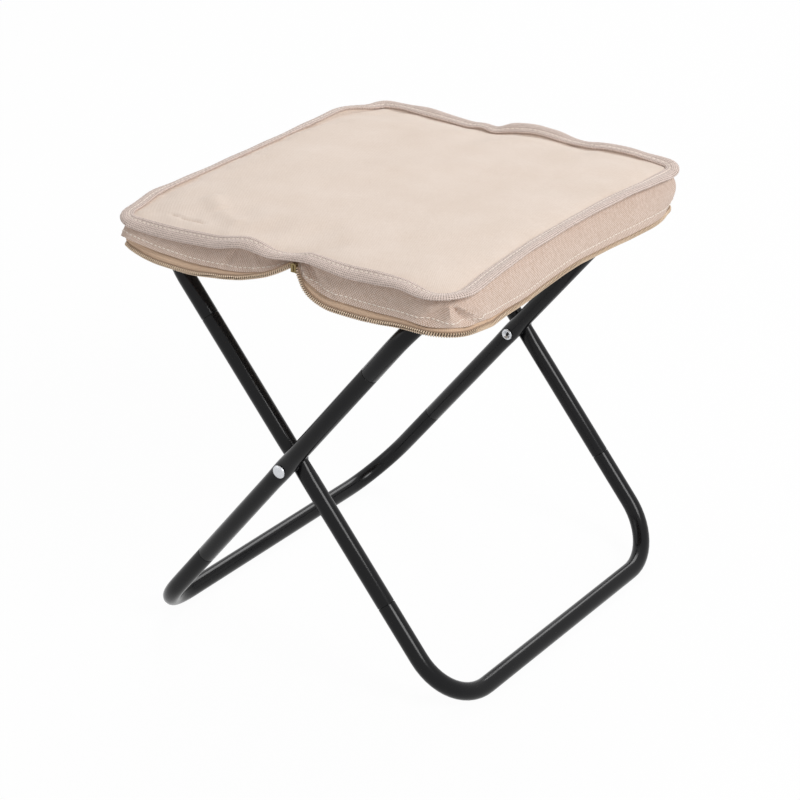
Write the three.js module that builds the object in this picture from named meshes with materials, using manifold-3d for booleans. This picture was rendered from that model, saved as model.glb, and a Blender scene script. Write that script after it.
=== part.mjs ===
// Folding stool with a zip-edged seat that folds in half into its own carry bag.
// Millimetres, +Z up. The origin is on the floor, under the middle of the pivots.
// The bars lie along Y, and the seat folds about lines along Y.
// The stool looks the same after half a turn about Z: side A is frame A with the seat's left half,
// and side B, the same pieces turned, is frame B with the right half.

import * as THREE from 'three';
import Module from 'manifold-3d';
import { mergeVertices } from 'three/addons/utils/BufferGeometryUtils.js';

const wasm = await Module();
wasm.setup();

// Clearances
const gap = 0.3; // between pieces that rest on or pass through each other
const overrun = 2; // how far a cutter runs past what it cuts

// Frames
const tubeRadius = 8;
const tubeWall = 1;
const tubeSides = 12;
const bendRadius = 54;
const bendSteps = 6;
const lean = THREE.MathUtils.degToRad(39.34); // each frame from upright
const pivotToFoot = 252; // pivot to bottom bar, along the leg
const barHeight = 386; // middle of the top bars above the floor
const legSpacing = 351.6; // between the two legs of one frame
const frameOffset = 19.1; // between two crossing legs, along the pivot
const seamReach = 144.5; // pivot to the joints in a leg, up and down
const pressDepth = 1; // the legs are pressed flatter on each side at the pivot
const pressWidth = 0.5; // and grow this much wider on each edge
const pressReach = 24;
const pressSteps = 8;

// Spigots of the bent tubes, which plug into the straight legs
const spigotLength = 34;
const spigotWall = 1;
const collarLength = 4; // of the spigot's root inside the bent tube
const collarInset = 0.4;

// Rivets and spacers at the pivots
const rivetRadius = 2.8;
const rivetSides = 20;
const headRadius = 6;
const headHeight = 2.6;
const clinchRadius = 5.6;
const clinchHeight = 1.6;
const clinchHoleRadius = 2;
const clinchHoleDepth = 3;
const spacerRadius = 7;

// Seat panel: cover, pad and lining
const panelLength = 340; // along X, between the bound edges
const panelWidth = 374; // along Y
const panelCorner = 18;
const cornerSteps = 5;
const coverThickness = 0.8;
const padThickness = 2; // at the edge
const liningThickness = 0.8;
const crownHeight = 3; // how far the middle stands above the edge
const crownLoopShares = [1, 0.94, 0.84, 0.68, 0.42, 0];
const foldedBarGap = 48; // between the top bars when the stool is folded

// Binding round the panel
const bindingWidth = 11;
const bindingThickness = 2.6;
const bindingTilt = THREE.MathUtils.degToRad(28); // outer edge down

// Side walls and zip
const wallThickness = 1.2;
const wallOut = 7.9; // inner face of the wall from the panel's edge
const zipBelowBar = 23; // lowest line of the zip under the top bars
const wallAboveZip = 6; // the wall's hem above that line
const tapeWidth = 8.2;
const tapeThickness = 0.6;
const tapeAboveZip = 3.1;
const coilRadius = 1.4;
const coilSides = 8;
const notchOffset = 22; // where the zip's two halves meet on the near side, along X
const notchRise = 21.5;
const notchReachLeft = 100;
const notchReachRight = 50;
const notchLeftPowerShare = 1.1;
const notchRightPowerShare = 1.6;
const cornerRise = 8;
const cornerReach = 46;

// Cloth loops that hold the seat on the top bars
const loopCloth = 1;
const loopWing = 17; // half width of the strip sewn to the lining
const loopSteps = 12;

// Zip slider and puller
const sliderLength = 9;
const sliderWidth = 5;
const sliderDepth = 3.8;
const archWidth = 1.4;
const archSpan = 5;
const archReach = 3;
const archBar = 1.2;
const pullerLength = 15;
const pullerWidth = 4.8;
const pullerThickness = 1.2;
const pullerEyeLength = 3.2;
const pullerSteps = 6;

// Worked out from the sizes above
const tubeFlat = tubeRadius * Math.cos(Math.PI / tubeSides);
const pivotHeight = pivotToFoot * Math.cos(lean) + tubeFlat;
const pivotToBar = (barHeight - pivotHeight) / Math.cos(lean);
const barX = pivotToBar * Math.sin(lean);
const innerLeg = (legSpacing - frameOffset) / 2;
const outerLeg = (legSpacing + frameOffset) / 2;
const boreRadius = tubeRadius - tubeWall;
const spigotRadius = boreRadius - gap;
const pressedHalf = tubeRadius - pressDepth;
const loopRadius = tubeRadius + gap + loopCloth;
const liningLow = barHeight + loopRadius + gap;
const padLow = liningLow + liningThickness + gap;
const coverLow = padLow + padThickness + gap;
const edgeTop = coverLow + coverThickness;
const bindingDrop = bindingWidth * Math.sin(bindingTilt);
const foldHeight = edgeTop - bindingThickness - bindingDrop; // of the lines that the seat folds about
const spineHalf = foldedBarGap / 2 + (foldHeight - barHeight);
const halfLength = panelLength / 2;
const halfWidth = panelWidth / 2;
const wallTop = edgeTop - bindingThickness - (wallOut + wallThickness) * Math.tan(bindingTilt) - gap;
const tapeOut = wallOut - gap - tapeThickness;
const zipHeight = barHeight - zipBelowBar;

const finish = (color, roughness, metalness = 0) =>
  new THREE.MeshStandardMaterial({ color, roughness, metalness });
const blackPaint = finish(0x2b2c30, 0.35, 0.3);
const zinc = finish(0xb9bdc2, 0.3, 1);
const darkPlastic = finish(0x1d1d1f, 0.6);
const canvas = finish(0xd9cabc, 0.9);
const wallCanvas = finish(0xc6b5a6, 0.9);
const bindingTape = finish(0xb9aba4, 0.85);
const liningCloth = finish(0xbdb2a6, 0.8);
const foam = finish(0xe7e5df, 0.95);
const zipTape = finish(0xc7a884, 0.85);
const zipCoil = finish(0xd2b595, 0.5);
const brass = finish(0x9a8752, 0.35, 0.9);

const stool = new THREE.Group();

function addPiece(parent, name, geometry, material) {
  const piece = new THREE.Mesh(geometry, material);
  piece.name = name;
  parent.add(piece);
  return piece;
}

// A route through given stations, so that a bent tube has rings only where its shape needs them
class Route extends THREE.Curve {
  constructor(stations) {
    super();
    this.stations = stations;
  }

  station(share) {
    return this.stations[Math.round(share * (this.stations.length - 1))];
  }

  getPoint(share) {
    return this.station(share).point.clone();
  }

  getPointAt(share) {
    return this.getPoint(share);
  }

  getTangentAt(share) {
    return this.station(share).tangent.clone();
  }
}

function polygon(radius, sides, firstFlat = 0) {
  const points = [];
  for (let k = 0; k < sides; k += 1) {
    const angle = firstFlat + ((k + 0.5) * 2 * Math.PI) / sides;
    points.push(new THREE.Vector2(radius * Math.cos(angle), radius * Math.sin(angle)));
  }
  return points;
}

function pipe(stations, firstFlat = 0) {
  const section = new THREE.Shape(polygon(tubeRadius, tubeSides, firstFlat));
  section.holes.push(new THREE.Path(polygon(boreRadius, tubeSides, firstFlat)));
  return new THREE.ExtrudeGeometry(section, {
    extrudePath: new Route(stations),
    steps: stations.length - 1,
    bevelEnabled: false,
  });
}

function bareGeometry(geometry) {
  const bare = geometry.clone();
  bare.deleteAttribute('normal');
  bare.deleteAttribute('uv');
  return mergeVertices(bare);
}

// Turns a shape right way out when its profile was drawn the other way round
function faceOut(geometry) {
  const shape = bareGeometry(geometry);
  const place = shape.attributes.position;
  const order = shape.index.array;
  const corners = [new THREE.Vector3(), new THREE.Vector3(), new THREE.Vector3()];
  let volume = 0;
  for (let k = 0; k < order.length; k += 3) {
    corners.forEach((corner, n) => corner.fromBufferAttribute(place, order[k + n]));
    volume += corners[0].dot(corners[1].cross(corners[2]));
  }
  if (volume < 0) {
    for (let k = 0; k < order.length; k += 3) {
      [order[k], order[k + 1]] = [order[k + 1], order[k]];
    }
  }
  return shape;
}

function toSolid(geometry) {
  const bare = bareGeometry(geometry);
  return new wasm.Manifold(new wasm.Mesh({
    numProp: 3,
    vertProperties: bare.attributes.position.array,
    triVerts: Uint32Array.from(bare.index.array),
  }));
}

function fromSolid(solid) {
  const { vertProperties, triVerts } = solid.getMesh();
  const geometry = new THREE.BufferGeometry();
  geometry.setAttribute('position', new THREE.BufferAttribute(vertProperties, 3));
  geometry.setIndex(new THREE.BufferAttribute(triVerts, 1));
  geometry.computeVertexNormals();
  return geometry;
}

// A solid ring of revolution about Z from [radius, height] pairs
function turned(profile, sides) {
  const points = profile.map(([radius, height]) => new THREE.Vector2(radius, height));
  const geometry = new THREE.LatheGeometry(points, sides);
  geometry.rotateX(Math.PI / 2);
  return faceOut(geometry);
}

// Frames

const along = (y, z) => new THREE.Vector3(0, y, z);

// From the joint on the inner leg, round the bar, to the joint on the outer leg. way is 1 up, -1 down.
function bentRoute(reach, way) {
  const start = seamReach + gap / 2;
  const straightEnd = reach - bendRadius;
  const stations = [{ point: along(-innerLeg, way * start), tangent: along(0, way) }];
  for (let k = 0; k <= bendSteps; k += 1) {
    const turn = (k / bendSteps) * (Math.PI / 2);
    const y = -innerLeg + bendRadius * (1 - Math.cos(turn));
    const z = straightEnd + bendRadius * Math.sin(turn);
    stations.push({ point: along(y, way * z), tangent: along(Math.sin(turn), way * Math.cos(turn)) });
  }
  for (let k = 0; k <= bendSteps; k += 1) {
    const turn = (k / bendSteps) * (Math.PI / 2);
    const y = outerLeg - bendRadius * (1 - Math.sin(turn));
    const z = straightEnd + bendRadius * Math.cos(turn);
    stations.push({ point: along(y, way * z), tangent: along(Math.cos(turn), -way * Math.sin(turn)) });
  }
  stations.push({ point: along(outerLeg, way * start), tangent: along(0, -way) });
  return stations;
}

// The necked end of a bent tube, from its root inside that tube to its tip inside the leg
function spigot(y, way) {
  const end = seamReach + gap / 2;
  const tip = seamReach - spigotLength;
  const rootRadius = (tubeRadius + boreRadius) / 2;
  const inside = spigotRadius - spigotWall;
  const geometry = turned([
    [inside, tip],
    [spigotRadius, tip],
    [spigotRadius, end + collarInset],
    [rootRadius, end + collarInset],
    [rootRadius, end + collarLength],
    [inside, end + collarLength],
    [inside, tip],
  ], tubeSides);
  if (way < 0) geometry.rotateX(Math.PI);
  geometry.translate(0, y, 0);
  return toSolid(geometry);
}

function bentTube(reach, way) {
  const tube = toSolid(pipe(bentRoute(reach, way), lean - Math.PI / 2));
  return fromSolid(tube.add(spigot(-innerLeg, way)).add(spigot(outerLeg, way)));
}

function pressAtPivot(geometry) {
  const place = geometry.attributes.position;
  for (let k = 0; k < place.count; k += 1) {
    const near = Math.min(1, Math.abs(place.getZ(k)) / pressReach);
    const share = Math.cos((near * Math.PI) / 2) ** 2;
    place.setX(k, place.getX(k) * (1 + (share * pressWidth) / tubeRadius));
    place.setY(k, place.getY(k) * (1 - (share * pressDepth) / tubeRadius));
  }
}

function straightLeg(y) {
  const end = seamReach - gap / 2;
  const heights = [-end];
  for (let k = 0; k <= pressSteps; k += 1) heights.push(pressReach * ((2 * k) / pressSteps - 1));
  heights.push(end);
  const stations = heights.map((z) => ({ point: along(0, z), tangent: along(0, 1) }));
  const tube = pipe(stations);
  pressAtPivot(tube);
  const drill = new THREE.CylinderGeometry(
    rivetRadius + gap,
    rivetRadius + gap,
    2 * (tubeRadius + overrun),
    rivetSides,
  );
  const leg = fromSolid(toSolid(tube).subtract(toSolid(drill)));
  leg.translate(0, y, 0);
  return leg;
}

// Head outside the outer leg, clinched end inside the other frame's inner leg
function pivotRivet() {
  const headSeat = outerLeg + pressedHalf + gap;
  const clinchSeat = innerLeg - pressedHalf - gap;
  const domeSteps = 5;
  const profile = [
    [0, clinchSeat - clinchHeight + clinchHoleDepth],
    [clinchHoleRadius, clinchSeat - clinchHeight + clinchHoleDepth],
    [clinchHoleRadius, clinchSeat - clinchHeight],
    [clinchRadius, clinchSeat - clinchHeight],
    [clinchRadius, clinchSeat],
    [rivetRadius, clinchSeat],
    [rivetRadius, headSeat],
  ];
  for (let k = 0; k <= domeSteps; k += 1) {
    const turn = (k / domeSteps) * (Math.PI / 2);
    profile.push([headRadius * Math.cos(turn), headSeat + headHeight * Math.sin(turn)]);
  }
  const geometry = turned(profile, rivetSides);
  geometry.rotateX(-Math.PI / 2);
  return geometry;
}

function pivotSpacer() {
  const half = frameOffset / 2 - pressedHalf - gap;
  const bore = rivetRadius + gap;
  const geometry = turned([
    [bore, -half],
    [spacerRadius, -half],
    [spacerRadius, half],
    [bore, half],
    [bore, -half],
  ], rivetSides);
  geometry.rotateX(-Math.PI / 2);
  geometry.translate(0, legSpacing / 2, 0);
  return geometry;
}

function makeFrame(side, parent) {
  const frame = new THREE.Group();
  frame.position.z = pivotHeight;
  frame.rotation.y = -lean;
  parent.add(frame);
  addPiece(frame, `${side.frame}_top_u`, bentTube(pivotToBar, 1), blackPaint);
  addPiece(frame, `${side.frame}_bottom_u`, bentTube(pivotToFoot, -1), blackPaint);
  addPiece(frame, `${side.frame}_leg_${side.near}`, straightLeg(-innerLeg), blackPaint);
  addPiece(frame, `${side.frame}_leg_${side.far}`, straightLeg(outerLeg), blackPaint);
  addPiece(frame, `rivet_${side.far}`, pivotRivet(), zinc);
  addPiece(frame, `spacer_${side.far}`, pivotSpacer(), darkPlastic);
}

// Seat panel

// Outline of the left half, clockwise from above, from the spine's near end to its far end
function halfOutline() {
  const spineX = -spineHalf - gap / 2;
  const points = [new THREE.Vector2(spineX, -halfWidth)];
  for (const way of [-1, 1]) {
    for (let k = 0; k <= cornerSteps; k += 1) {
      const share = way < 0 ? k / cornerSteps : 1 - k / cornerSteps;
      const turn = share * (Math.PI / 2);
      const x = -halfLength + panelCorner * (1 - Math.sin(turn));
      const y = way * (halfWidth - panelCorner * (1 - Math.cos(turn)));
      points.push(new THREE.Vector2(x, y));
    }
  }
  points.push(new THREE.Vector2(spineX, halfWidth));
  return points;
}

const crownAt = (share) => crownHeight * (1 - share ** 4);

// Joins loops of points, each with as many points as the last, and closes both ends.
// A loop of one repeated point closes by itself.
function loft(loops) {
  const count = loops[0].length;
  const place = loops.flat(2);
  const order = [];
  for (let row = 0; row + 1 < loops.length; row += 1) {
    for (let k = 0; k < count; k += 1) {
      const next = (k + 1) % count;
      const [a, b] = [row * count + k, row * count + next];
      order.push(a, b, b + count, a, b + count, a + count);
    }
  }
  for (let k = 1; k + 1 < count; k += 1) {
    const last = (loops.length - 1) * count;
    order.push(0, k + 1, k, last, last + k, last + k + 1);
  }
  const geometry = new THREE.BufferGeometry();
  geometry.setAttribute('position', new THREE.Float32BufferAttribute(place, 3));
  geometry.setIndex(order);
  return withoutSlivers(faceOut(geometry));
}

// Drops the triangles that lost an edge when their points were merged
function withoutSlivers(geometry) {
  const kept = [];
  const order = geometry.index.array;
  for (let k = 0; k < order.length; k += 3) {
    const [a, b, c] = order.slice(k, k + 3);
    if (a !== b && b !== c && c !== a) kept.push(a, b, c);
  }
  geometry.setIndex(kept);
  geometry.computeVertexNormals();
  return geometry;
}

// A layer of the panel's half: its loops shrink towards the middle of the spine's edge
function crownedLayer(low, high) {
  const outline = halfOutline();
  const loopAt = (share, height) => outline.map(({ x }, k) => [
    outline[0].x + (x - outline[0].x) * share,
    outline[k].y * share,
    height(share),
  ]);
  const under = crownLoopShares.map((share) => loopAt(share, low)).reverse();
  const over = crownLoopShares.map((share) => loopAt(share, high));
  return loft([...under, ...over]);
}

function makePanelHalf(side, parent) {
  const cover = crownedLayer((share) => coverLow + crownAt(share), (share) => edgeTop + crownAt(share));
  const pad = crownedLayer(() => padLow, (share) => coverLow - gap + crownAt(share));
  const lining = new THREE.ExtrudeGeometry(new THREE.Shape(halfOutline()), {
    depth: liningThickness,
    bevelEnabled: false,
  });
  lining.translate(0, 0, liningLow);
  addPiece(parent, `cover_${side.half}`, cover, canvas);
  addPiece(parent, `pad_${side.half}`, pad, foam);
  addPiece(parent, `lining_${side.half}`, lining, liningCloth);
}

function spineStrip(low, high) {
  const reach = spineHalf - gap / 2;
  const shares = [...crownLoopShares.map((share) => -share), ...crownLoopShares.slice(0, -1).reverse()];
  return loft(shares.map((share) => {
    const y = share * halfWidth;
    const [z0, z1] = [low(Math.abs(share)), high(Math.abs(share))];
    return [[-reach, y, z0], [reach, y, z0], [reach, y, z1], [-reach, y, z1]];
  }));
}

function makeSpine(parent) {
  const cover = spineStrip((share) => coverLow + crownAt(share), (share) => edgeTop + crownAt(share));
  const lining = spineStrip(() => liningLow, () => liningLow + liningThickness);
  addPiece(parent, 'cover_spine', cover, canvas);
  addPiece(parent, 'lining_spine', lining, liningCloth);
}

// Rim: binding, walls, tape and coil all follow the panel's edge

// Stations along the near side from x0 to x1, the near corner, the end and the far corner, and back.
// Each has its place on the panel's edge and the way out from it.
function straightRun(x0, x1, way, steps) {
  const run = [];
  for (let k = 0; k <= steps; k += 1) {
    run.push({ x: x0 + ((x1 - x0) * k) / steps, y: way * halfWidth, outX: 0, outY: way });
  }
  return run;
}

function cornerRun(way) {
  const run = [];
  for (let k = 0; k <= cornerSteps; k += 1) {
    const share = way < 0 ? k / cornerSteps : 1 - k / cornerSteps;
    const turn = share * (Math.PI / 2);
    const [outX, outY] = [-Math.sin(turn), way * Math.cos(turn)];
    const x = -halfLength + panelCorner + panelCorner * outX;
    const y = way * (halfWidth - panelCorner) + panelCorner * outY;
    run.push({ x, y, outX, outY });
  }
  return run;
}

const cornerX = -halfLength + panelCorner;
const endReach = halfWidth - panelCorner;

function endRun(reach, steps) {
  const run = [];
  for (let k = 0; k <= steps; k += 1) {
    run.push({ x: -halfLength, y: reach * ((2 * k) / steps - 1), outX: -1, outY: 0 });
  }
  return run;
}

// How far the zip's line stands above its lowest height at a place on the rim
function zipRise({ x, y }) {
  const nearX = y < 0 ? x : -x;
  const run = nearX < notchOffset ? notchReachLeft : notchReachRight;
  const power = nearX < notchOffset ? notchLeftPowerShare : notchRightPowerShare;
  const notchShare = Math.max(0, 1 - Math.abs(nearX - notchOffset) / run) ** power;
  const away = Math.hypot(halfLength - Math.abs(x), halfWidth - Math.abs(y));
  const cornerShare = Math.max(0, 1 - away / cornerReach) ** 2;
  return notchRise * notchShare + cornerRise * cornerShare;
}

// Sweeps a section of [out, height] pairs along rim stations
function sweep(stations, sectionAt) {
  return loft(stations.map((station) => sectionAt(station).map(([out, z]) => [
    station.x + station.outX * out,
    station.y + station.outY * out,
    z,
  ])));
}

function bindingSection() {
  const inner = gap;
  const outer = gap + bindingWidth * Math.cos(bindingTilt);
  return [
    [inner, edgeTop - bindingThickness],
    [outer, foldHeight],
    [outer, edgeTop - bindingDrop],
    [inner, edgeTop],
  ];
}

function curtainSection(out, thickness, low, high) {
  return [[out, low], [out + thickness, low], [out + thickness, high], [out, high]];
}

function wallSection(station) {
  const low = zipHeight + zipRise(station) + wallAboveZip;
  return curtainSection(wallOut, wallThickness, low, wallTop);
}

function tapeSection(station) {
  const low = zipHeight + zipRise(station) + tapeAboveZip;
  return curtainSection(tapeOut, tapeThickness, low, Math.min(low + tapeWidth, wallTop));
}

function coilSection(station) {
  const middle = zipHeight + zipRise(station) + coilRadius;
  const out = tapeOut + tapeThickness / 2;
  return polygon(coilRadius, coilSides).map(({ x, y }) => [out + x, middle + y]);
}

const endStretch = () => [...cornerRun(-1), ...endRun(endReach, 4).slice(1, -1), ...cornerRun(1)];

// The whole zip half: from the near notch round the end to the far notch, less a margin at each
function zipRun(margin) {
  return [
    ...straightRun(notchOffset - margin, cornerX, -1, 14).slice(0, -1),
    ...endStretch(),
    ...straightRun(cornerX, -notchOffset - margin, 1, 12).slice(1),
  ];
}

function makeRimHalf(side, parent) {
  const spineX = -spineHalf - gap / 2;
  const nearRun = straightRun(spineX, cornerX + gap, -1, 8);
  const farRun = straightRun(cornerX + gap, spineX, 1, 8);
  const bindingRun = [
    ...straightRun(spineX, cornerX, -1, 1).slice(0, 1),
    ...endStretch(),
    ...straightRun(cornerX, spineX, 1, 1).slice(1),
  ];
  addPiece(parent, `binding_${side.half}`, sweep(bindingRun, bindingSection), bindingTape);
  addPiece(parent, `wall_${side.half}_${side.near}`, sweep(nearRun, wallSection), wallCanvas);
  addPiece(parent, `wall_${side.half}_${side.far}`, sweep(farRun, wallSection), wallCanvas);
  addPiece(parent, `end_wall_${side.half}`, sweep(endRun(endReach - gap, 4), wallSection), wallCanvas);
  addPiece(parent, `corner_${side.half}_${side.near}`, sweep(cornerRun(-1), wallSection), wallCanvas);
  addPiece(parent, `corner_${side.half}_${side.far}`, sweep(cornerRun(1), wallSection), wallCanvas);
  addPiece(parent, `zip_tape_${side.half}`, sweep(zipRun(gap), tapeSection), zipTape);
  addPiece(parent, `zip_coil_${side.half}`, sweep(zipRun(sliderWidth / 2 + gap), coilSection), zipCoil);
}

// The rim where it crosses the spine on the near side; the far one is this one turned
function makeSpineRim(side, parent) {
  const reach = spineHalf - gap / 2;
  const bindingRun = straightRun(reach, -reach, -1, 1);
  const gussetRun = [
    ...straightRun(reach, notchOffset, -1, 3),
    ...straightRun(notchOffset, -reach, -1, 8).slice(1),
  ];
  addPiece(parent, `binding_spine_${side.near}`, sweep(bindingRun, bindingSection), bindingTape);
  addPiece(parent, `gusset_${side.near}`, sweep(gussetRun, wallSection), wallCanvas);
}

// Cloth loop round the top bar's straight stretch, in the bar's own section

function makeBarLoop(side, parent) {
  const top = loopRadius;
  const under = top - loopCloth;
  const clothTurn = Math.asin(under / loopRadius);
  const section = new THREE.Shape();
  section.moveTo(-loopWing, top);
  section.lineTo(-loopWing, under);
  for (let k = 0; k <= loopSteps; k += 1) {
    const turn = Math.PI - clothTurn + ((Math.PI + 2 * clothTurn) * k) / loopSteps;
    section.lineTo(loopRadius * Math.cos(turn), loopRadius * Math.sin(turn));
  }
  section.lineTo(loopWing, under);
  section.lineTo(loopWing, top);
  section.holes.push(new THREE.Path(polygon(tubeRadius + gap, loopSteps)));
  const length = legSpacing - 2 * bendRadius;
  const loop = new THREE.ExtrudeGeometry(section, { depth: length, bevelEnabled: false });
  loop.rotateX(Math.PI / 2);
  loop.translate(-barX, (outerLeg - innerLeg + length) / 2, barHeight);
  addPiece(parent, `bar_loop_${side.half}`, loop, liningCloth);
}

// Zip slider and puller, parked at the near notch, just inside the wall

const sliderX = notchOffset;
const sliderZ = zipHeight + notchRise + sliderLength / 2;
const sliderY = -halfWidth - tapeOut + gap; // its outer face
const archZ = sliderZ;
const pinY = sliderY + sliderDepth + (archReach - archBar) / 2;

function block(width, depth, height, x, y, z) {
  const geometry = new THREE.BoxGeometry(width, depth, height);
  geometry.translate(x, y, z);
  return toSolid(geometry);
}

function makeSlider(parent) {
  const outline = new THREE.Shape();
  const waistShare = 0.7;
  outline.moveTo((-sliderWidth * waistShare) / 2, -sliderLength / 2);
  outline.lineTo((sliderWidth * waistShare) / 2, -sliderLength / 2);
  outline.lineTo(sliderWidth / 2, sliderLength / 4);
  outline.lineTo(sliderWidth / 3, sliderLength / 2);
  outline.lineTo(-sliderWidth / 3, sliderLength / 2);
  outline.lineTo(-sliderWidth / 2, sliderLength / 4);
  const body = new THREE.ExtrudeGeometry(outline, { depth: sliderDepth, bevelEnabled: false });
  body.rotateX(Math.PI / 2);
  body.translate(sliderX, sliderY + sliderDepth, sliderZ);
  const face = sliderY + sliderDepth;
  const arch = block(archWidth, archReach + gap, archSpan, sliderX, face + (archReach - gap) / 2, archZ);
  const eye = block(
    archWidth + overrun,
    archReach - archBar,
    archSpan - 2 * archBar,
    sliderX,
    face + (archReach - archBar) / 2,
    archZ,
  );
  addPiece(parent, 'zip_slider', fromSolid(toSolid(body).add(arch.subtract(eye))), brass);
}

// The puller lies level, pointing in under the spine; its bar turns under the slider's arch
function makePuller(parent) {
  const outline = new THREE.Shape();
  const half = pullerWidth / 2;
  outline.moveTo(-half, 0);
  outline.lineTo(half, 0);
  outline.lineTo(half, pullerLength - half);
  for (let k = 1; k < pullerSteps; k += 1) {
    const turn = (k / pullerSteps) * Math.PI;
    outline.lineTo(half * Math.cos(turn), pullerLength - half + half * Math.sin(turn));
  }
  outline.lineTo(-half, pullerLength - half);
  const eyeHalf = archWidth / 2 + gap;
  const eye = new THREE.Path();
  eye.moveTo(-eyeHalf, pullerThickness);
  eye.lineTo(eyeHalf, pullerThickness);
  eye.lineTo(eyeHalf, pullerThickness + pullerEyeLength);
  eye.lineTo(-eyeHalf, pullerThickness + pullerEyeLength);
  outline.holes.push(eye);
  const plate = new THREE.ExtrudeGeometry(outline, { depth: pullerThickness, bevelEnabled: false });
  plate.translate(sliderX, pinY - pullerThickness / 2, archZ - pullerThickness / 2);
  addPiece(parent, 'zip_puller', plate, brass);
}

const sideA = { frame: 'a', half: 'left', near: 'near', far: 'far' };
const sideB = { frame: 'b', half: 'right', near: 'far', far: 'near' };

for (const side of [sideA, sideB]) {
  const group = new THREE.Group();
  group.rotation.z = side === sideB ? Math.PI : 0;
  stool.add(group);
  makeFrame(side, group);
  makePanelHalf(side, group);
  makeRimHalf(side, group);
  makeSpineRim(side, group);
  makeBarLoop(side, group);
}
makeSpine(stool);
makeSlider(stool);
makePuller(stool);

export default stool;
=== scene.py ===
"""Folding stool: painted tube frames, a bound cloth seat and its zip-edged skirt."""

import math

import bpy
import numpy as np
from mathutils import Matrix, Vector, noise


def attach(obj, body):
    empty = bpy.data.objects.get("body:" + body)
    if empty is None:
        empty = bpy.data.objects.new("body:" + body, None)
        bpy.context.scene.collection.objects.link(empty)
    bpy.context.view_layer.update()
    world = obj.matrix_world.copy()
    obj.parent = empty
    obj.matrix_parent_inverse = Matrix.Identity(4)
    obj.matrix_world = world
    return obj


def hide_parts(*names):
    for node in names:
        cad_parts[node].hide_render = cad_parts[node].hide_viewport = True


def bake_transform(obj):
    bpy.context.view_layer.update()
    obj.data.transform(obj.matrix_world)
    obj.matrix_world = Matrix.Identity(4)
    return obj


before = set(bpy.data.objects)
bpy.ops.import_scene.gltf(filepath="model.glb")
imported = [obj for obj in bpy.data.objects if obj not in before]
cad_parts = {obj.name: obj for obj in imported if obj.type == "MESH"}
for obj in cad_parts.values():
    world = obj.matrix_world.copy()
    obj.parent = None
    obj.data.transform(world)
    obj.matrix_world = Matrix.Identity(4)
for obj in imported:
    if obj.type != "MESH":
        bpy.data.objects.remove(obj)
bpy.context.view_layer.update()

MM = 0.001

# Camera, solved from the photograph's legs, foot bars and rivets
CAMERA_TURN = math.radians(35.788)
CAMERA_RISE = math.radians(25.361)
CAMERA_ROLL = math.radians(-0.384)
CAMERA_TARGET = Vector((-12.29, 0, 191.51)) * MM
CAMERA_DISTANCE = 2100.87 * MM
SENSOR = 36
PICTURE_WIDTH = 800
FOCAL_PIXELS = 2305.65
LENS = SENSOR * FOCAL_PIXELS / PICTURE_WIDTH

# Frames
TUBE_RADIUS = 8 * MM
TUBE_WALL = 1 * MM
TUBE_SIDES = 40
BEND_RADIUS = 54 * MM
BEND_STEPS = 14
LEAN = math.radians(39.34)
PIVOT_TO_FOOT = 252 * MM
BAR_HEIGHT = 386 * MM
LEG_SPACING = 351.6 * MM
FRAME_OFFSET = 19.1 * MM
SEAM_REACH = 144.5 * MM
SEAM_GAP = 0.3 * MM
EDGE_ROUND = 0.35 * MM
SHOULDER_ROUND = 0.6 * MM
ROUND_STEPS = 4
WELD_DISTANCE = 0.01 * MM
PRESS_DEPTH = 1 * MM
PRESS_WIDTH = 0.5 * MM
PRESS_REACH = 24 * MM
PRESS_RINGS = 12
SPIGOT_RADIUS = 6.7 * MM
SPIGOT_LENGTH = 34 * MM
BORE_DEPTH = 30 * MM
LEG_BORE_DEPTH = 38 * MM
METAL_SMOOTH = 35

# The feet stand on a flat of the solids' tubes
SOLID_TUBE_SIDES = 12
FACETED_FLAT = TUBE_RADIUS * math.cos(math.pi / SOLID_TUBE_SIDES)
PIVOT_HEIGHT = PIVOT_TO_FOOT * math.cos(LEAN) + FACETED_FLAT
PIVOT_TO_BAR = (BAR_HEIGHT - PIVOT_HEIGHT) / math.cos(LEAN)
BAR_X = PIVOT_TO_BAR * math.sin(LEAN)
INNER_LEG = (LEG_SPACING - FRAME_OFFSET) / 2
OUTER_LEG = (LEG_SPACING + FRAME_OFFSET) / 2
PRESSED_HALF = TUBE_RADIUS - PRESS_DEPTH

# Rivets
RIVET_RADIUS = 2.8 * MM
HEAD_RADIUS = 6 * MM
HEAD_HEIGHT = 2.6 * MM
CLINCH_RADIUS = 5.3 * MM
CLINCH_HEIGHT = 1.6 * MM
CLINCH_HOLE = 3.4 * MM
CLINCH_DEPTH = 2 * MM
CLINCH_ROUND = 1 * MM
CLINCH_TAPER_SHARE = 0.6
DOME_STEPS = 6
SPACER_RADIUS = 7 * MM
RIVET_SIDES = 40

# Seat. From here on sizes are in millimetres, up to where the meshes are made
SEAT_X = 170
SEAT_Y = 187
SEAT_CORNER = 18
FOLD_HEIGHT = 392.04
RIM_GRID = 1400
RIM_STEP = 2.0

# Where the cloth bends: from the spine to the halves, and from a half to its skirt end, as x and z
BLEND_INNER = 18
BLEND_OUTER = 45
END_BLEND_START = (158, 365)
END_BLEND_END = (172.7, 360.6)

# Where the skirt and the zip are cut, along the rim
END_PIECE = 100
NOTCH_X = 22
NOTCH_GAP = 0.6

# Binding
FIN_WIDTH = 12.5
FIN_ROOT_OUT = -3
FIN_ROOT_RISE = 0.6
FIN_STITCH_AT = 4.2
FIN_CURL = math.radians(18)
FIN_STITCH_LIFT = 0.9
FIN_ROWS_PER_STITCH = 3
FIN_PUCKER = 0.07
FIN_WAVE = 0.5
FIN_WAVE_RUN = 11
FIN_WAVE_SLANT = 5
FIN_WAVE_SWELL = 37

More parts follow.
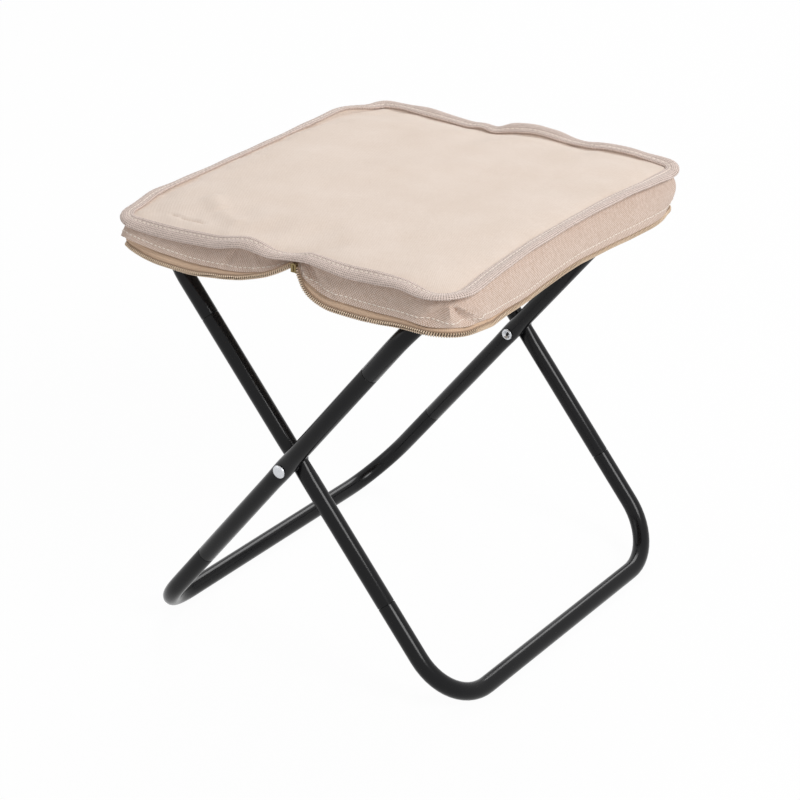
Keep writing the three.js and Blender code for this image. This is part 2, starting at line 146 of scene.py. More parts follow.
# One face of the folded tape: distance from the sewn edge, and lift off its middle
FIN_FACE = (
    (0, 0.4), (0.4, 1.1), (1.6, 1.5), (2.9, 1.35), (3.7, 0.9), (FIN_STITCH_AT, 0.7),
    (4.7, 0.9), (5.6, 1.5), (7.5, 1.9), (9.6, 1.85), (11.3, 1.45), (12.2, 0.8),
)

# Skirt and zip
CLOTH_STEP = 2
WALL_ROWS = 12
WALL_TOP_OUT = 0.5
WALL_TOP_DROP = 1.5
WALL_THICKNESS = 1
WALL_LEAST = 1
ZIP_CLEARANCE = 7
WALL_RIPPLE = 0.9
WALL_RIPPLE_SIZE = 22
WALL_RIPPLE_SEED = 3
HEM_RIPPLE_TURN = 0.1
PLEAT_TIP = 1.2
PLEAT_LOW = 0.66
SHEET_MARGIN = 1.02
CLOTH_SMOOTH = 50
TAPE_TUCK = 1.5
TAPE_RIDGE = 0.5
TAPE_RIDGE_AT = 0.24
TAPE_RIDGE_HALF = 0.14
TAPE_ROWS = (0, 0.14, TAPE_RIDGE_AT, 0.32, 0.42, 0.55, 0.7, 0.85, 1)
TAPE_THICKNESS = 0.6
COIL_RADIUS = 2.4
COIL_THREAD_RADIUS = 0.65
COIL_THREAD_SIDES = 5
COIL_PITCH = 2.1
COIL_STEPS = 10
CORD_RADIUS = 1.5
CORD_SIDES = 8
SEAM_RADIUS = 0.55
SEAM_SIDES = 6
SEAM_ASIDE_SHARE = 0.25
SEAM_UP_SHARE = 0.95
TAPE_OVERLAP = 0.6
TAPE_RECESS = 1.2

# Stitches
STITCH_PITCH = 4.7
STITCH_LENGTH = 3.6
STITCH_RADIUS = 0.55
STITCH_FLAT_SHARE = 0.7
STITCH_SIDES = 6
STITCH_LINE_STEP = 1
ACROSS_STEP = 1
ACROSS_SHARE = 0.02
HEM_STITCH_HIGHEST = 0.6
HEM_STITCH_LIFT = 0.1

# A stitch's rings: place in shares of its length, size and lift in shares of its radius
STITCH_RINGS = ((-0.5, 0.25, -0.3), (-0.36, 0.8, 0.1), (0, 1, 0.3), (0.36, 0.8, 0.1), (0.5, 0.25, -0.3))

# Cover and lining
COVER_STEP = 7
PANEL_EDGE_STEP = 3
COVER_INSET = 0.3
COVER_CROWN = 2.2
CROWN_REACH = 70
PINCH_FADE = 22
DIFFUSE_ROUNDS = 1500
SMOOTH_LEVELS = 2
COVER_THICKNESS = 3
COVER_SLACK = 0.004
COVER_PRESSURE = 0.6
COVER_FRAMES = 24
COVER_MOVE = 3

# Slanting waves of the cover: length, width, height and seed
FOLD_TURN = math.radians(36)
COVER_FOLDS = ((190, 62, 2.6, 5), (90, 26, 0.9, 11))

# The dip beside the fin, and the rows sewn into it
COVER_DIP = 1.8
COVER_DIP_AT = 3.3
COVER_DIP_REACH = 3.5
COVER_SEWN = 1

# Creases of the cover: start, end, height and width
COVER_CREASES = (
    ((-133, -167), (-106, -170.5), -1.8, 1.4),
    ((-112, -169), (-86, -170.5), -1.8, 1.4),
    ((-124, -122), (-92, -146), 2.2, 8),
    ((-96, -146), (-55, -162), 2.2, 8),
)

# The cover's cloth while it settles
CLOTH_SETTINGS = {
    "quality": 6,
    "mass": 0.25,
    "tension_stiffness": 40,
    "compression_stiffness": 40,
    "shear_stiffness": 20,
    "bending_stiffness": 0.6,
    "shrink_min": -COVER_SLACK,
    "use_pressure": True,
    "uniform_pressure_force": COVER_PRESSURE,
    "vertex_group_mass": "held",
}

LINING_STEP = 14
LINING_INSET = 10
LINING_GAP = 0.6
LINING_HEIGHT = 396.0
LINING_RIPPLE = 0.3
LINING_RIPPLE_SIZE = 40
LINING_RIPPLE_SEED = 9
LINING_THICKNESS = 0.8

# Bar loops, slider and puller
LOOP_RADIUS = 9.3
LOOP_TOP = 9.2
LOOP_WING = 17
LOOP_EASE = 3
LOOP_HALF = 121.8
LOOP_SHIFT = 9.55
LOOP_START = math.radians(210)
LOOP_TURN = math.radians(240)
LOOP_STEPS = 20
LOOP_ROW_STEP = 6
LOOP_SWAY = 0.6
LOOP_SWAY_RUN = 17
LOOP_THICKNESS = 1
BLOCK_ROUND_STEPS = 3
SLIDER_SMOOTH = 40
SLIDER_AT = (21, -190.5, 392.6)
PLATE_SIZE = (5.4, 0.9, 7.4)
RAIL_SIZE = (0.7, 3.2, 6.4)
NARROW_BELOW = -1
NARROW_SHARE = 0.72

# The slider's blocks: place from its middle, size, and rounding of the edges
SLIDER_PLATES = (
    ("slider_face", (0, -1.5, 0), PLATE_SIZE, 0.35),
    ("slider_back", (0, 1.5, 0), PLATE_SIZE, 0.35),
)
SLIDER_INSIDE = (
    ("slider_wedge", (0, 0, 3), (1.6, 3.2, 2.4), 0.3),
    ("slider_lip", (2.3, -0.2, -0.6), RAIL_SIZE, 0.2),
    ("slider_rail", (-2.3, -0.2, -0.6), RAIL_SIZE, 0.2),
    ("slider_bridge", (0, -2.6, 0), (1.5, 1.4, 5.6), 0.45),
)

PULLER_PIN = (22, -189, 389)
PULLER_SIZE = (4.8, 15, 1.2)
PULLER_ROUND = 0.5

# Looks
PAINT_COLORS = ((0.003, 0.003, 0.0036), (0.006, 0.006, 0.007))
ZINC_COLORS = ((0.52, 0.54, 0.57), (0.74, 0.75, 0.77))
PLASTIC_COLORS = ((0.014, 0.014, 0.015), (0.03, 0.03, 0.031))
BRASS_COLORS = ((0.20, 0.145, 0.07), (0.33, 0.26, 0.13))
NYLON_COLORS = ((0.64, 0.48, 0.33), (0.80, 0.63, 0.47))
CANVAS_COLOR = (0.745, 0.640, 0.565)
SKIRT_COLOR = (0.61, 0.485, 0.415)
LINING_COLOR = (0.50, 0.43, 0.36)
BINDING_COLOR = (0.64, 0.53, 0.48)
ZIP_TAPE_COLOR = (0.70, 0.50, 0.35)
THREAD_COLOR = (0.92, 0.82, 0.72)
# The cord is near black as painted shade in the gaps between the coil's turns.
CORD_SHADE_COLOR = (0.09, 0.055, 0.03)
# The seam thread is the stitching that holds the coil, coloured dark brown also as painted shade in the
# groove above the coil.
SEAM_SHADE_COLOR = (0.34, 0.22, 0.14)
WARM_SHARES = (0.7, -0.1, -1)

# Stage, its size in metres
STAGE_SIZE = 8
STAGE_COLOR = (0.86, 0.86, 0.86)
STAGE_WHITE_SHARE = 0.96
WORLD_LEVEL = 0.46

# Lights: name, place and width in metres, and power in watts
LIGHT_TARGET = (0, 0, 0.25)
LIGHTS = (
    ("key", (2.6, -0.5, 2.3), 1.4, 58),
    ("fill", (-2.0, -2.0, 1.7), 2.0, 7),
    ("rim", (-1.0, 2.2, 2.6), 1.6, 36),
)


# Object tools


def deselect():
    if bpy.context.object and bpy.context.object.mode != "OBJECT":
        bpy.ops.object.mode_set(mode="OBJECT")
    bpy.ops.object.select_all(action="DESELECT")


def choose(piece):
    deselect()
    piece.select_set(True)
    bpy.context.view_layer.objects.active = piece


def named(name):
    piece = bpy.context.object
    piece.name = name
    piece.data.name = name
    return piece


def apply_modifiers(piece):
    choose(piece)
    for modifier in list(piece.modifiers):
        bpy.ops.object.modifier_apply(modifier=modifier.name)


def face_out(piece):
    choose(piece)
    bpy.ops.object.mode_set(mode="EDIT")
    bpy.ops.mesh.select_all(action="SELECT")
    bpy.ops.mesh.remove_doubles(threshold=WELD_DISTANCE)
    bpy.ops.mesh.normals_make_consistent(inside=False)
    bpy.ops.object.mode_set(mode="OBJECT")


def place(piece, matrix):
    """Moves the piece's mesh and leaves its object at the origin."""
    choose(piece)
    piece.matrix_world = matrix @ piece.matrix_world
    bpy.ops.object.transform_apply(location=True, rotation=True, scale=True)


def dress(piece, body, material, smooth_angle=None):
    piece.data.materials.clear()
    piece.data.materials.append(material)
    choose(piece)
    if smooth_angle is None:
        bpy.ops.object.shade_smooth()
    else:
        bpy.ops.object.shade_smooth_by_angle(angle=math.radians(smooth_angle))
    if body:
        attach(piece, body)


# Shader tools


class Value:
    """A node's output, so that sums and products add their Math nodes."""

    def __init__(self, tree, socket):
        self.tree = tree
        self.socket = socket

    def math(self, operation, *others):
        values = dict(enumerate([self, *others]))
        return self.tree.node("ShaderNodeMath", {"operation": operation}, values)[0]

    def __add__(self, other):
        return self.math("ADD", other)

    def __mul__(self, other):
        return self.math("MULTIPLY", other)

    def __sub__(self, other):
        return self.math("SUBTRACT", other)

    __radd__ = __add__

    def sine(self):
        return self.math("SINE")

    def clamp(self):
        return self.tree.node("ShaderNodeClamp", {}, {"Value": self})[0]

    def step(self, low, high):
        """0 at low, 1 at high, and smooth between them."""
        settings = {"interpolation_type": "SMOOTHSTEP"}
        links = {"Value": self, "From Min": low, "From Max": high}
        return self.tree.node("ShaderNodeMapRange", settings, links)[0]


class Outputs:
    """A node's outputs, by number or name."""

    def __init__(self, tree, node):
        self.tree = tree
        self.node = node

    def __getitem__(self, key):
        return Value(self.tree, self.node.outputs[key])


class Finish:
    """A material and the methods that add its nodes."""

    def __init__(self, name, **constants):
        self.material = bpy.data.materials.new(name)
        self.material.use_nodes = True
        self.nodes = self.material.node_tree.nodes
        self.links = self.material.node_tree.links
        self.shader = self.nodes["Principled BSDF"]
        for key, value in constants.items():
            socket = self.shader.inputs[key.replace("_", " ")]
            socket.default_value = (*value, 1) if isinstance(value, tuple) else value

    def node(self, kind, settings, links):
        made = self.nodes.new(kind)
        for key, value in settings.items():
            setattr(made, key, value)
        for key, value in links.items():
            self.feed(made.inputs[key], value)
        return Outputs(self, made)

    def feed(self, socket, value):
        if isinstance(value, Value):
            self.links.new(value.socket, socket)
        elif isinstance(value, tuple) and len(value) == 3 and socket.type == "RGBA":
            socket.default_value = (*value, 1)
        else:
            socket.default_value = value

    def set(self, key, value):
        self.feed(self.shader.inputs[key], value)

    def object_place(self):
        return self.node("ShaderNodeTexCoord", {}, {})["Object"]

    def cloth_place(self):
        """Metres along and across the cloth."""
        return self.node("ShaderNodeUVMap", {"uv_map": "cloth"}, {})[0]

    def noise(self, place, size, detail, roughness=0.5):
        links = {"Vector": place, "Scale": 1 / size, "Detail": detail, "Roughness": roughness}
        return self.node("ShaderNodeTexNoise", {}, links)["Fac"]

    def split(self, place):
        parts = self.node("ShaderNodeSeparateXYZ", {}, {0: place})
        return parts[0], parts[1], parts[2]

    def mix(self, share, first, second):
        settings = {"data_type": "RGBA", "blend_type": "MIX"}
        return self.node("ShaderNodeMix", settings, {0: share, 6: first, 7: second})[2]

    def bump(self, height, depth, strength):
        links = {"Height": height, "Distance": depth, "Strength": strength}
        return self.node("ShaderNodeBump", {}, links)[0]


def shade(color, factor, warmth=0):
    """The color made lighter or darker, and redder by a share."""
    return tuple(min(1, part * factor * (1 + warmth * way)) for part, way in zip(color, WARM_SHARES))


def paint_finish():
    finish = Finish("black_paint", Specular_IOR_Level=0.2)
    at = finish.object_place()
    broad = finish.noise(at, 60 * MM, 3)
    fine = finish.noise(at, 1.6 * MM, 2)
    finish.set("Base Color", finish.mix(broad, *PAINT_COLORS))
    finish.set("Roughness", 0.13 + broad * 0.08 + fine * 0.03)
    finish.set("Normal", finish.bump(fine, 0.04 * MM, 0.4))
    return finish.material


def grained_finish(name, colors, size, detail, roughness, bump, **constants):
    """A plain fine grain. roughness is its least value and its change, bump its depth and strength."""
    finish = Finish(name, **constants)
    grain = finish.noise(finish.object_place(), size, detail)
    finish.set("Base Color", finish.mix(grain, *colors))
    finish.set("Roughness", roughness[0] + grain * roughness[1])
    finish.set("Normal", finish.bump(grain, *bump))
    return finish.material


def thread_finish(name, color):
    colors = (shade(color, 0.85), color)
    return grained_finish(name, colors, 0.5 * MM, 2, (0.6, 0.2), (0.05 * MM, 0.5), Sheen_Weight=0.2)


def woven_finish(name, color, thread, lift, contrast):
    """Plain woven cloth. thread is the width of one thread in metres."""
    finish = Finish(name, Sheen_Weight=0.15, Sheen_Roughness=0.5)
    along, across, _ = finish.split(finish.cloth_place())
    warp = (along * (math.pi / thread)).sine()
    weft = (across * (math.pi / thread)).sine()
    weave = warp * weft
    at = finish.object_place()
    mottle = finish.noise(at, 2.4 * MM, 3, 0.6)
    broad = finish.noise(at, 45 * MM, 3)
    # The weave term darkens the gaps between the threads as painted shade. The noise terms are the cloth's
    # own random tone.
    tone = (mottle - 0.5) * (1.6 * contrast) + (broad - 0.5) * 0.3 + weave * contrast + 0.5
    # The darker end of the mix is made warmer as painted shade.
    dark = shade(color, 0.7, 0.16)
    light = shade(color, 1.3, -0.04)
    finish.set("Base Color", finish.mix(tone.clamp(), dark, light))
    finish.set("Roughness", 0.84 + mottle * 0.1)
    height = weave * 0.5 + mottle * 0.6
    finish.set("Normal", finish.bump(height, 0.2 * MM, lift))
    return finish.material


def twill_finish(name, color, twill):
    """Edge tape with small sunk dots in slanting rows. twill is the distance between rows in metres."""
    contrast = 0.9
    finish = Finish(name, Sheen_Weight=0.2, Sheen_Roughness=0.5)
    along, across, _ = finish.split(finish.cloth_place())
    rising = ((along + across) * (math.pi / twill)).sine()
    falling = ((along - across) * (math.pi / twill)).sine()
    at = finish.object_place()
    mottle = finish.noise(at, 1.8 * MM, 3, 0.6)
    dots = (rising * falling).step(0.1, 0.9)
    tone = (mottle - 0.5) * contrast - dots * contrast + 0.5 + 0.35 * contrast
    finish.set("Base Color", finish.mix(tone.clamp(), shade(color, 0.3, 0.2), shade(color, 1.3)))
    finish.set("Roughness", 0.8 + mottle * 0.12)
    finish.set("Normal", finish.bump(mottle - dots, 0.3 * MM, 0.9))
    return finish.material


def tape_finish(name, color, rib):
    """Zip tape woven in fine ribs along it. rib is the width of one rib in metres."""
    finish = Finish(name, Sheen_Weight=0.1, Sheen_Roughness=0.5)
    along, across, _ = finish.split(finish.cloth_place())
    ribs = (across * (2 * math.pi / rib)).sine()
    picks = (along * (2 * math.pi / (1.3 * rib))).sine()
    mottle = finish.noise(finish.object_place(), 2 * MM, 3, 0.6)
    tone = (mottle - 0.5) * 0.6 + ribs * 0.14 + picks * 0.1 + 0.5
    finish.set("Base Color", finish.mix(tone.clamp(), shade(color, 0.68), shade(color, 1.2)))
    finish.set("Roughness", 0.74 + mottle * 0.14)
    finish.set("Normal", finish.bump(ribs * 0.5 + picks * 0.3 + mottle * 0.5, 0.2 * MM, 0.8))
    return finish.material


PAINT = paint_finish()
ZINC = grained_finish("zinc", ZINC_COLORS, 1.2 * MM, 3, (0.24, 0.2), (0.06 * MM, 0.5), Metallic=1.0)
PLASTIC = grained_finish("dark_plastic", PLASTIC_COLORS, 0.8 * MM, 2, (0.5, 0.15), (0.04 * MM, 0.4))
BRASS = grained_finish("brass", BRASS_COLORS, 0.9 * MM, 3, (0.28, 0.25), (0.03 * MM, 0.5), Metallic=1.0)
CANVAS = woven_finish("canvas", CANVAS_COLOR, 0.9 * MM, lift=0.8, contrast=0.16)
SKIRT = woven_finish("skirt", SKIRT_COLOR, 1.15 * MM, lift=1.0, contrast=0.85)
LINING = woven_finish("lining", LINING_COLOR, 0.5 * MM, lift=0.5, contrast=0.2)
BINDING = twill_finish("binding", BINDING_COLOR, 1.7 * MM)
ZIP_TAPE = tape_finish("zip_tape", ZIP_TAPE_COLOR, 1.2 * MM)
THREAD = thread_finish("stitch_thread", THREAD_COLOR)
# The cord's material is painted shade between the coil's turns.
CORD_SHADE = thread_finish("zip_cord_shade", CORD_SHADE_COLOR)
# The seam thread's material is stitching with painted shade of the groove above the coil.
SEAM_THREAD_AND_SHADE = thread_finish("zip_seam_shade", SEAM_SHADE_COLOR)
NYLON = grained_finish("zip_coil", NYLON_COLORS, 4 * MM, 2, (0.34, 0.14), (0.02 * MM, 0.3))


# Frame tubes, modelled upright about the pivot and then leaned over


class Drawn:
    """A solid drawn out ring by ring: its last end stays selected in edit mode."""

    def __init__(self, name, at, facing, radius, sides, filled=True):
        self.at = Vector(at)
        self.radius = radius
        deselect()
        turn = Vector(facing).to_track_quat("Z", "Y").to_euler()
        fill = "NGON" if filled else "NOTHING"
        bpy.ops.mesh.primitive_circle_add(
            vertices=sides, radius=radius, fill_type=fill, location=at, rotation=turn
        )
        bpy.ops.object.transform_apply(location=True, rotation=True, scale=True)
        self.piece = named(name)
        bpy.ops.object.mode_set(mode="EDIT")
        bpy.ops.mesh.select_mode(type="FACE" if filled else "EDGE")
        bpy.ops.mesh.select_all(action="SELECT")

    def reach(self, at, radius=None):
        step = Vector(at) - self.at
        bpy.ops.mesh.extrude_region_move(TRANSFORM_OT_translate={"value": tuple(step)})
        self.at = Vector(at)
        if radius is not None:
            self.stretch((radius / self.radius,) * 3)
            self.radius = radius

    def stretch(self, factors):
        bpy.ops.transform.resize(value=factors, center_override=tuple(self.at))

    def rings(self, origin, outward, profile):
        """Follows (height, radius) pairs, with heights measured outward from the origin."""
        for height, radius in profile:
            self.reach(Vector(origin) + Vector(outward) * height, radius)

    def bend(self, angle, center, axis):
        bpy.ops.mesh.spin(steps=BEND_STEPS, angle=-angle, center=tuple(center), axis=tuple(axis))
        turn = Matrix.Rotation(angle, 4, Vector(axis))
        self.at = Vector(center) + turn @ (self.at - Vector(center))

    def done(self):
        bpy.ops.object.mode_set(mode="OBJECT")
        face_out(self.piece)
        return self.piece


def rounded(low_radius, high_radius, height):
    """(height, radius) pairs of a quarter round from the low radius out to the high one."""
    pairs = []
    for k in range(1, ROUND_STEPS + 1):
        turn = k / ROUND_STEPS * math.pi / 2
        radius = low_radius + (high_radius - low_radius) * math.sin(turn)
        pairs.append((height - (high_radius - low_radius) * (1 - math.cos(turn)), radius))
    return pairs


SPIGOT_END = [
    (SPIGOT_LENGTH - BORE_DEPTH, SPIGOT_RADIUS - TUBE_WALL),
    (SPIGOT_LENGTH, SPIGOT_RADIUS - TUBE_WALL),
    (SPIGOT_LENGTH, SPIGOT_RADIUS - EDGE_ROUND),
    (SPIGOT_LENGTH - EDGE_ROUND, SPIGOT_RADIUS),
    (0, SPIGOT_RADIUS),
    (0, TUBE_RADIUS - SHOULDER_ROUND),
    *rounded(TUBE_RADIUS - SHOULDER_ROUND, TUBE_RADIUS, 0),
]
LEG_END = [
    (-LEG_BORE_DEPTH, TUBE_RADIUS - TUBE_WALL),
    (0, TUBE_RADIUS - TUBE_WALL),
    (0, TUBE_RADIUS - EDGE_ROUND),
    *rounded(TUBE_RADIUS - EDGE_ROUND, TUBE_RADIUS, 0),
]


def bent_tube(name, reach, way):
    """From its joint on the inner leg, round the bar, to its joint on the outer leg."""
    shoulder = way * (SEAM_REACH + SEAM_GAP / 2)
    straight_end = way * (reach - BEND_RADIUS)
    outward = Vector((0, 0, -way))
    start = Vector((0, -INNER_LEG, shoulder))
    tube = Drawn(name, start + outward * SPIGOT_END[0][0], outward, SPIGOT_END[0][1], TUBE_SIDES)
    tube.rings(start, outward, SPIGOT_END[1:])
    tube.reach((0, -INNER_LEG, straight_end))
    tube.bend(math.pi / 2, (0, BEND_RADIUS - INNER_LEG, straight_end), (-way, 0, 0))
    tube.reach(tube.at + Vector((0, LEG_SPACING - 2 * BEND_RADIUS, 0)))
    tube.bend(math.pi / 2, (0, OUTER_LEG - BEND_RADIUS, straight_end), (-way, 0, 0))
    tube.rings((0, OUTER_LEG, shoulder), outward, SPIGOT_END[::-1])
    return tube.done()


def straight_leg(name, y):
    end = SEAM_REACH - SEAM_GAP / 2
    down = Vector((0, 0, -1))
    foot = Vector((0, y, -end))
    tube = Drawn(name, foot + down * LEG_END[0][0], down, LEG_END[0][1], TUBE_SIDES)
    tube.rings(foot, down, LEG_END[1:])
    last = (1, 1)
    for k in range(PRESS_RINGS + 1):
        height = PRESS_REACH * (2 * k / PRESS_RINGS - 1)
        share = math.cos(height / PRESS_REACH * math.pi / 2) ** 2
        now = (1 + share * PRESS_WIDTH / TUBE_RADIUS, 1 - share * PRESS_DEPTH / TUBE_RADIUS)
        tube.reach((0, y, height))
        tube.stretch((now[0] / last[0], now[1] / last[1], 1))
        last = now
    tube.rings((0, y, end), -down, LEG_END[::-1])
    return tube.done()


def turned(name, origin, outward, profile, filled=True):
    start = Vector(origin) + Vector(outward) * profile[0][0]
    shape = Drawn(name, start, outward, profile[0][1], RIVET_SIDES, filled)
    shape.rings(origin, outward, profile[1:])
    return shape.done()


def pivot_rivet(name):
    """Dome outside the outer leg, clinched end inside the other frame's inner leg."""
    head = OUTER_LEG + PRESSED_HALF + SEAM_GAP
    clinch = INNER_LEG - PRESSED_HALF - SEAM_GAP
    tail = clinch - CLINCH_HEIGHT
    profile = [
        (tail + CLINCH_DEPTH, CLINCH_HOLE * CLINCH_TAPER_SHARE),
        (tail + EDGE_ROUND, CLINCH_HOLE),
        (tail, CLINCH_HOLE + EDGE_ROUND),
        (tail, CLINCH_RADIUS - CLINCH_ROUND),
    ]
    for k in range(1, ROUND_STEPS + 1):
        turn = k / ROUND_STEPS * math.pi / 2
        radius = CLINCH_RADIUS - CLINCH_ROUND * (1 - math.sin(turn))
        profile.append((tail + CLINCH_ROUND * (1 - math.cos(turn)), radius))
    profile += [(clinch, CLINCH_RADIUS), (clinch, RIVET_RADIUS), (head, RIVET_RADIUS)]
    profile.append((head, HEAD_RADIUS - EDGE_ROUND))
    for k in range(DOME_STEPS):
        turn = k / DOME_STEPS * math.pi / 2
        height = head + EDGE_ROUND + (HEAD_HEIGHT - EDGE_ROUND) * math.sin(turn)
        profile.append((height, HEAD_RADIUS * math.cos(turn)))
    return turned(name, (0, 0, 0), (0, 1, 0), profile)


def pivot_spacer(name):
    half = FRAME_OFFSET / 2 - PRESSED_HALF - SEAM_GAP
    inner = RIVET_RADIUS + SEAM_GAP
    profile = [
        (-half, inner),
        (-half, SPACER_RADIUS - EDGE_ROUND),
        (-half + EDGE_ROUND, SPACER_RADIUS),
        (half - EDGE_ROUND, SPACER_RADIUS),
        (half, SPACER_RADIUS - EDGE_ROUND),
        (half, inner),
        (-half, inner),
    ]
    return turned(name, (0, LEG_SPACING / 2, 0), (0, 1, 0), profile, filled=False)


def build_frame(letter, near, far, place_matrix, body, foot_body):
    paint = ("black_paint", PAINT)
    parts = (
        (bent_tube(f"{letter}_top_tube", PIVOT_TO_BAR, 1), f"{letter}_top_u", body, *paint),
        (bent_tube(f"{letter}_foot_tube", PIVOT_TO_FOOT, -1), f"{letter}_bottom_u", foot_body, *paint),
        (straight_leg(f"{letter}_tube_{near}", -INNER_LEG), f"{letter}_leg_{near}", body, *paint),
        (straight_leg(f"{letter}_tube_{far}", OUTER_LEG), f"{letter}_leg_{far}", body, *paint),
        (pivot_rivet(f"rivet_head_{far}"), f"rivet_{far}", "frame_a", "zinc", ZINC),
        (pivot_spacer(f"spacer_ring_{far}"), f"spacer_{far}", "frame_a", "dark_plastic", PLASTIC),
    )
    for piece, node, owner, slot, material in parts:
        place(piece, place_matrix)
        dress(piece, owner, material, METAL_SMOOTH)
        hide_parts(node)


FRAME_A = Matrix.Translation((0, 0, PIVOT_HEIGHT)) @ Matrix.Rotation(-LEAN, 4, "Y")
HALF_TURN = Matrix.Rotation(math.pi, 4, "Z")
build_frame("a", "near", "far", FRAME_A, "frame_a", "foot_a")
build_frame("b", "far", "near", HALF_TURN @ FRAME_A, "frame_b", "foot_b")


# Seat rim, in millimetres: s runs anticlockwise from the middle of the near side

CORE_X = SEAT_X - SEAT_CORNER
CORE_Y = SEAT_Y - SEAT_CORNER
CORNER_RUN = SEAT_CORNER * math.pi / 2
RIM_STOPS = np.cumsum([
    0, CORE_X, CORNER_RUN, 2 * CORE_Y, CORNER_RUN, 2 * CORE_X, CORNER_RUN, 2 * CORE_Y, CORNER_RUN, CORE_X,
])
RIM_LENGTH = RIM_STOPS[-1]
FAR_MIDDLE = RIM_LENGTH / 2
RIM_CORE_X = np.array([0, 1, 1, 1, 1, -1, -1, -1, -1, 0]) * CORE_X
RIM_CORE_Y = np.array([-1, -1, -1, 1, 1, 1, 1, -1, -1, -1]) * CORE_Y
RIM_TURNS = np.radians([-90, -90, 0, 0, 90, 90, 180, 180, 270, 270])


def rim_place(side, at):
    """s at a place on a side: x on the near and far sides, y on the left and right ones."""
    middle_right = CORE_X + CORNER_RUN + CORE_Y
    places = {
        "near": at,
        "right": middle_right + at,
        "far": FAR_MIDDLE - at,
        "left": -middle_right - at,
    }
    return places[side]


def half_turned(pairs):
    """The same sizes on the opposite side, because each side is the other one turned half round."""
    return [(-at, size) for at, size in pairs]


class RimSize:
    """A size that changes round the rim, given by (place, size) pairs on each side and smoothed."""

    def __init__(self, smooth, **sides):
        pairs = []
        for side, places in sides.items():
            pairs += [(rim_place(side, at) % RIM_LENGTH, size) for at, size in places]
        s, sizes = np.array(sorted(pairs)).T
        self.grid = np.linspace(0, RIM_LENGTH, RIM_GRID, endpoint=False)
        sizes = np.interp(self.grid, s, sizes, period=RIM_LENGTH)
        reach = np.arange(-3 * smooth, 3 * smooth + 1)
        weights = np.exp(-((reach / smooth) ** 2) / 2)
        weights /= weights.sum()
        around = np.concatenate([sizes[-3 * smooth:], sizes, sizes[:3 * smooth]])
        self.sizes = np.convolve(around, weights, mode="valid")

    def __call__(self, s):
        return np.interp(s, self.grid, self.sizes, period=RIM_LENGTH)


# Sizes round the rim. The place is x on the near and far sides, and y on the left and right ones.
# What shows is measured. What is hidden is the opposite side turned half round, or guessed.
NEAR_ZIP = [
    (-160, 369), (-150, 367), (-138, 365.5), (-124, 364.5), (-88, 364), (-74, 365), (-60, 367),
    (-46, 368.5), (-32, 370.8), (-19, 374.5), (-8, 378), (2, 382.5), (11, 387.5), (17, 391.5),
    (20.5, 393), (23, 391.5), (24.8, 386), (27, 380), (30.5, 375.5), (36, 371.5), (42.5, 369),
    (49, 367.5), (58, 366), (94, 366), (110, 366.8), (122, 368), (135, 369), (150, 369.5), (160, 369.5),
]
RIGHT_ZIP = [
    (-165, 367), (-142, 363), (-119, 363.5), (-95, 362.8), (-81, 362.8), (-47, 364.6), (-23, 366),
    (2, 366.4), (28, 365), (54, 363.8), (81, 362.2), (109, 361.5), (137, 360.5), (150, 359.5), (165, 358),
]
NEAR_HEM = [
    (-165, 11), (-155, 11), (-144, 11.5), (-128, 11.3), (-98, 10.5), (-81, 10), (-67, 9), (-45, 7.5),
    (-20, 6), (0, 4), (19.5, 2.5), (25, 6), (31, 10), (40, 11.5), (48, 10.5), (60, 10), (98, 9.7),
    (123, 8.5), (148, 7.5), (160, 8),
]
RIGHT_HEM = [(-160, 8), (-143, 8), (-122, 6.5), (-100, 5.5), (-75, 5), (134, 4.8), (155, 4)]
FAR_ZIP = [(160, 359), (145, 362), (130, 363.5)] + half_turned(NEAR_ZIP[4:])
FAR_HEM = half_turned(NEAR_HEM)

# Height of the zip's lower edge, and of the hem over it
ZIP_HEIGHT = RimSize(2, near=NEAR_ZIP, right=RIGHT_ZIP, far=FAR_ZIP, left=half_turned(RIGHT_ZIP))
HEM_RISE = RimSize(3, near=NEAR_HEM, right=RIGHT_HEM, far=FAR_HEM, left=half_turned(RIGHT_HEM))

# How far the hem stands out from the rim, and the zip from the hem
HEM_OUT = RimSize(
    10,
    near=[(-165, 9.5), (-150, 9), (-130, 8), (-60, 8), (22, 6), (60, 8), (150, 9)],
    right=[(-155, 9), (-60, 8.5), (60, 9), (109, 10.5), (140, 11), (152, 8), (165, 3)],
    far=[(160, 2), (60, 4), (-60, 4), (-150, 3)],
    left=[(165, 3), (0, 6), (-120, 6), (-150, 7.5), (-165, 9.5)],
)
ZIP_LEAN = RimSize(
    10,
    near=[(-165, -6), (-140, 0), (-120, 2), (-60, 3), (-10, 1), (22, 0), (40, 1.5), (80, 3), (150, 0.5)],
    right=[(-150, 0), (-100, -0.8), (150, -1.2)],
    far=[(150, -1), (-150, 0)],
    left=[(150, 0), (-130, 0), (-165, -6)],
)

# Height of the edge where the cover meets the fin, and the fin's tilt below level in degrees
EDGE_HEIGHT = RimSize(
    5,
    near=[(-165, 395), (-145, 395.5), (-100, 396.5), (-80, 398), (-60, 399), (-45, 402), (-28, 405.5),
          (-14, 402.5), (-2, 397.5), (12, 397.5), (22, 400), (31, 404.5), (45, 404), (75, 403.5), (97, 405),
          (130, 404), (155, 399)],
    right=[(-165, 400), (-140, 402.5), (-86, 404), (-40, 404.5), (60, 403.7), (100, 401.5), (128, 399.5),
           (165, 397)],
    far=[(160, 397), (142, 398), (115, 400.5), (90, 400), (75, 397.5), (49, 397.5), (23, 399.5), (10, 399.5),
         (-16, 396), (-29, 393.5), (-43, 397), (-56, 393.5), (-82, 394.5), (-109, 395.5), (-135, 397.5),
         (-160, 396)],
    left=[(165, 396.5), (142, 400.5), (100, 400.5), (0, 400), (-80, 399), (-140, 398.5), (-165, 395)],
)
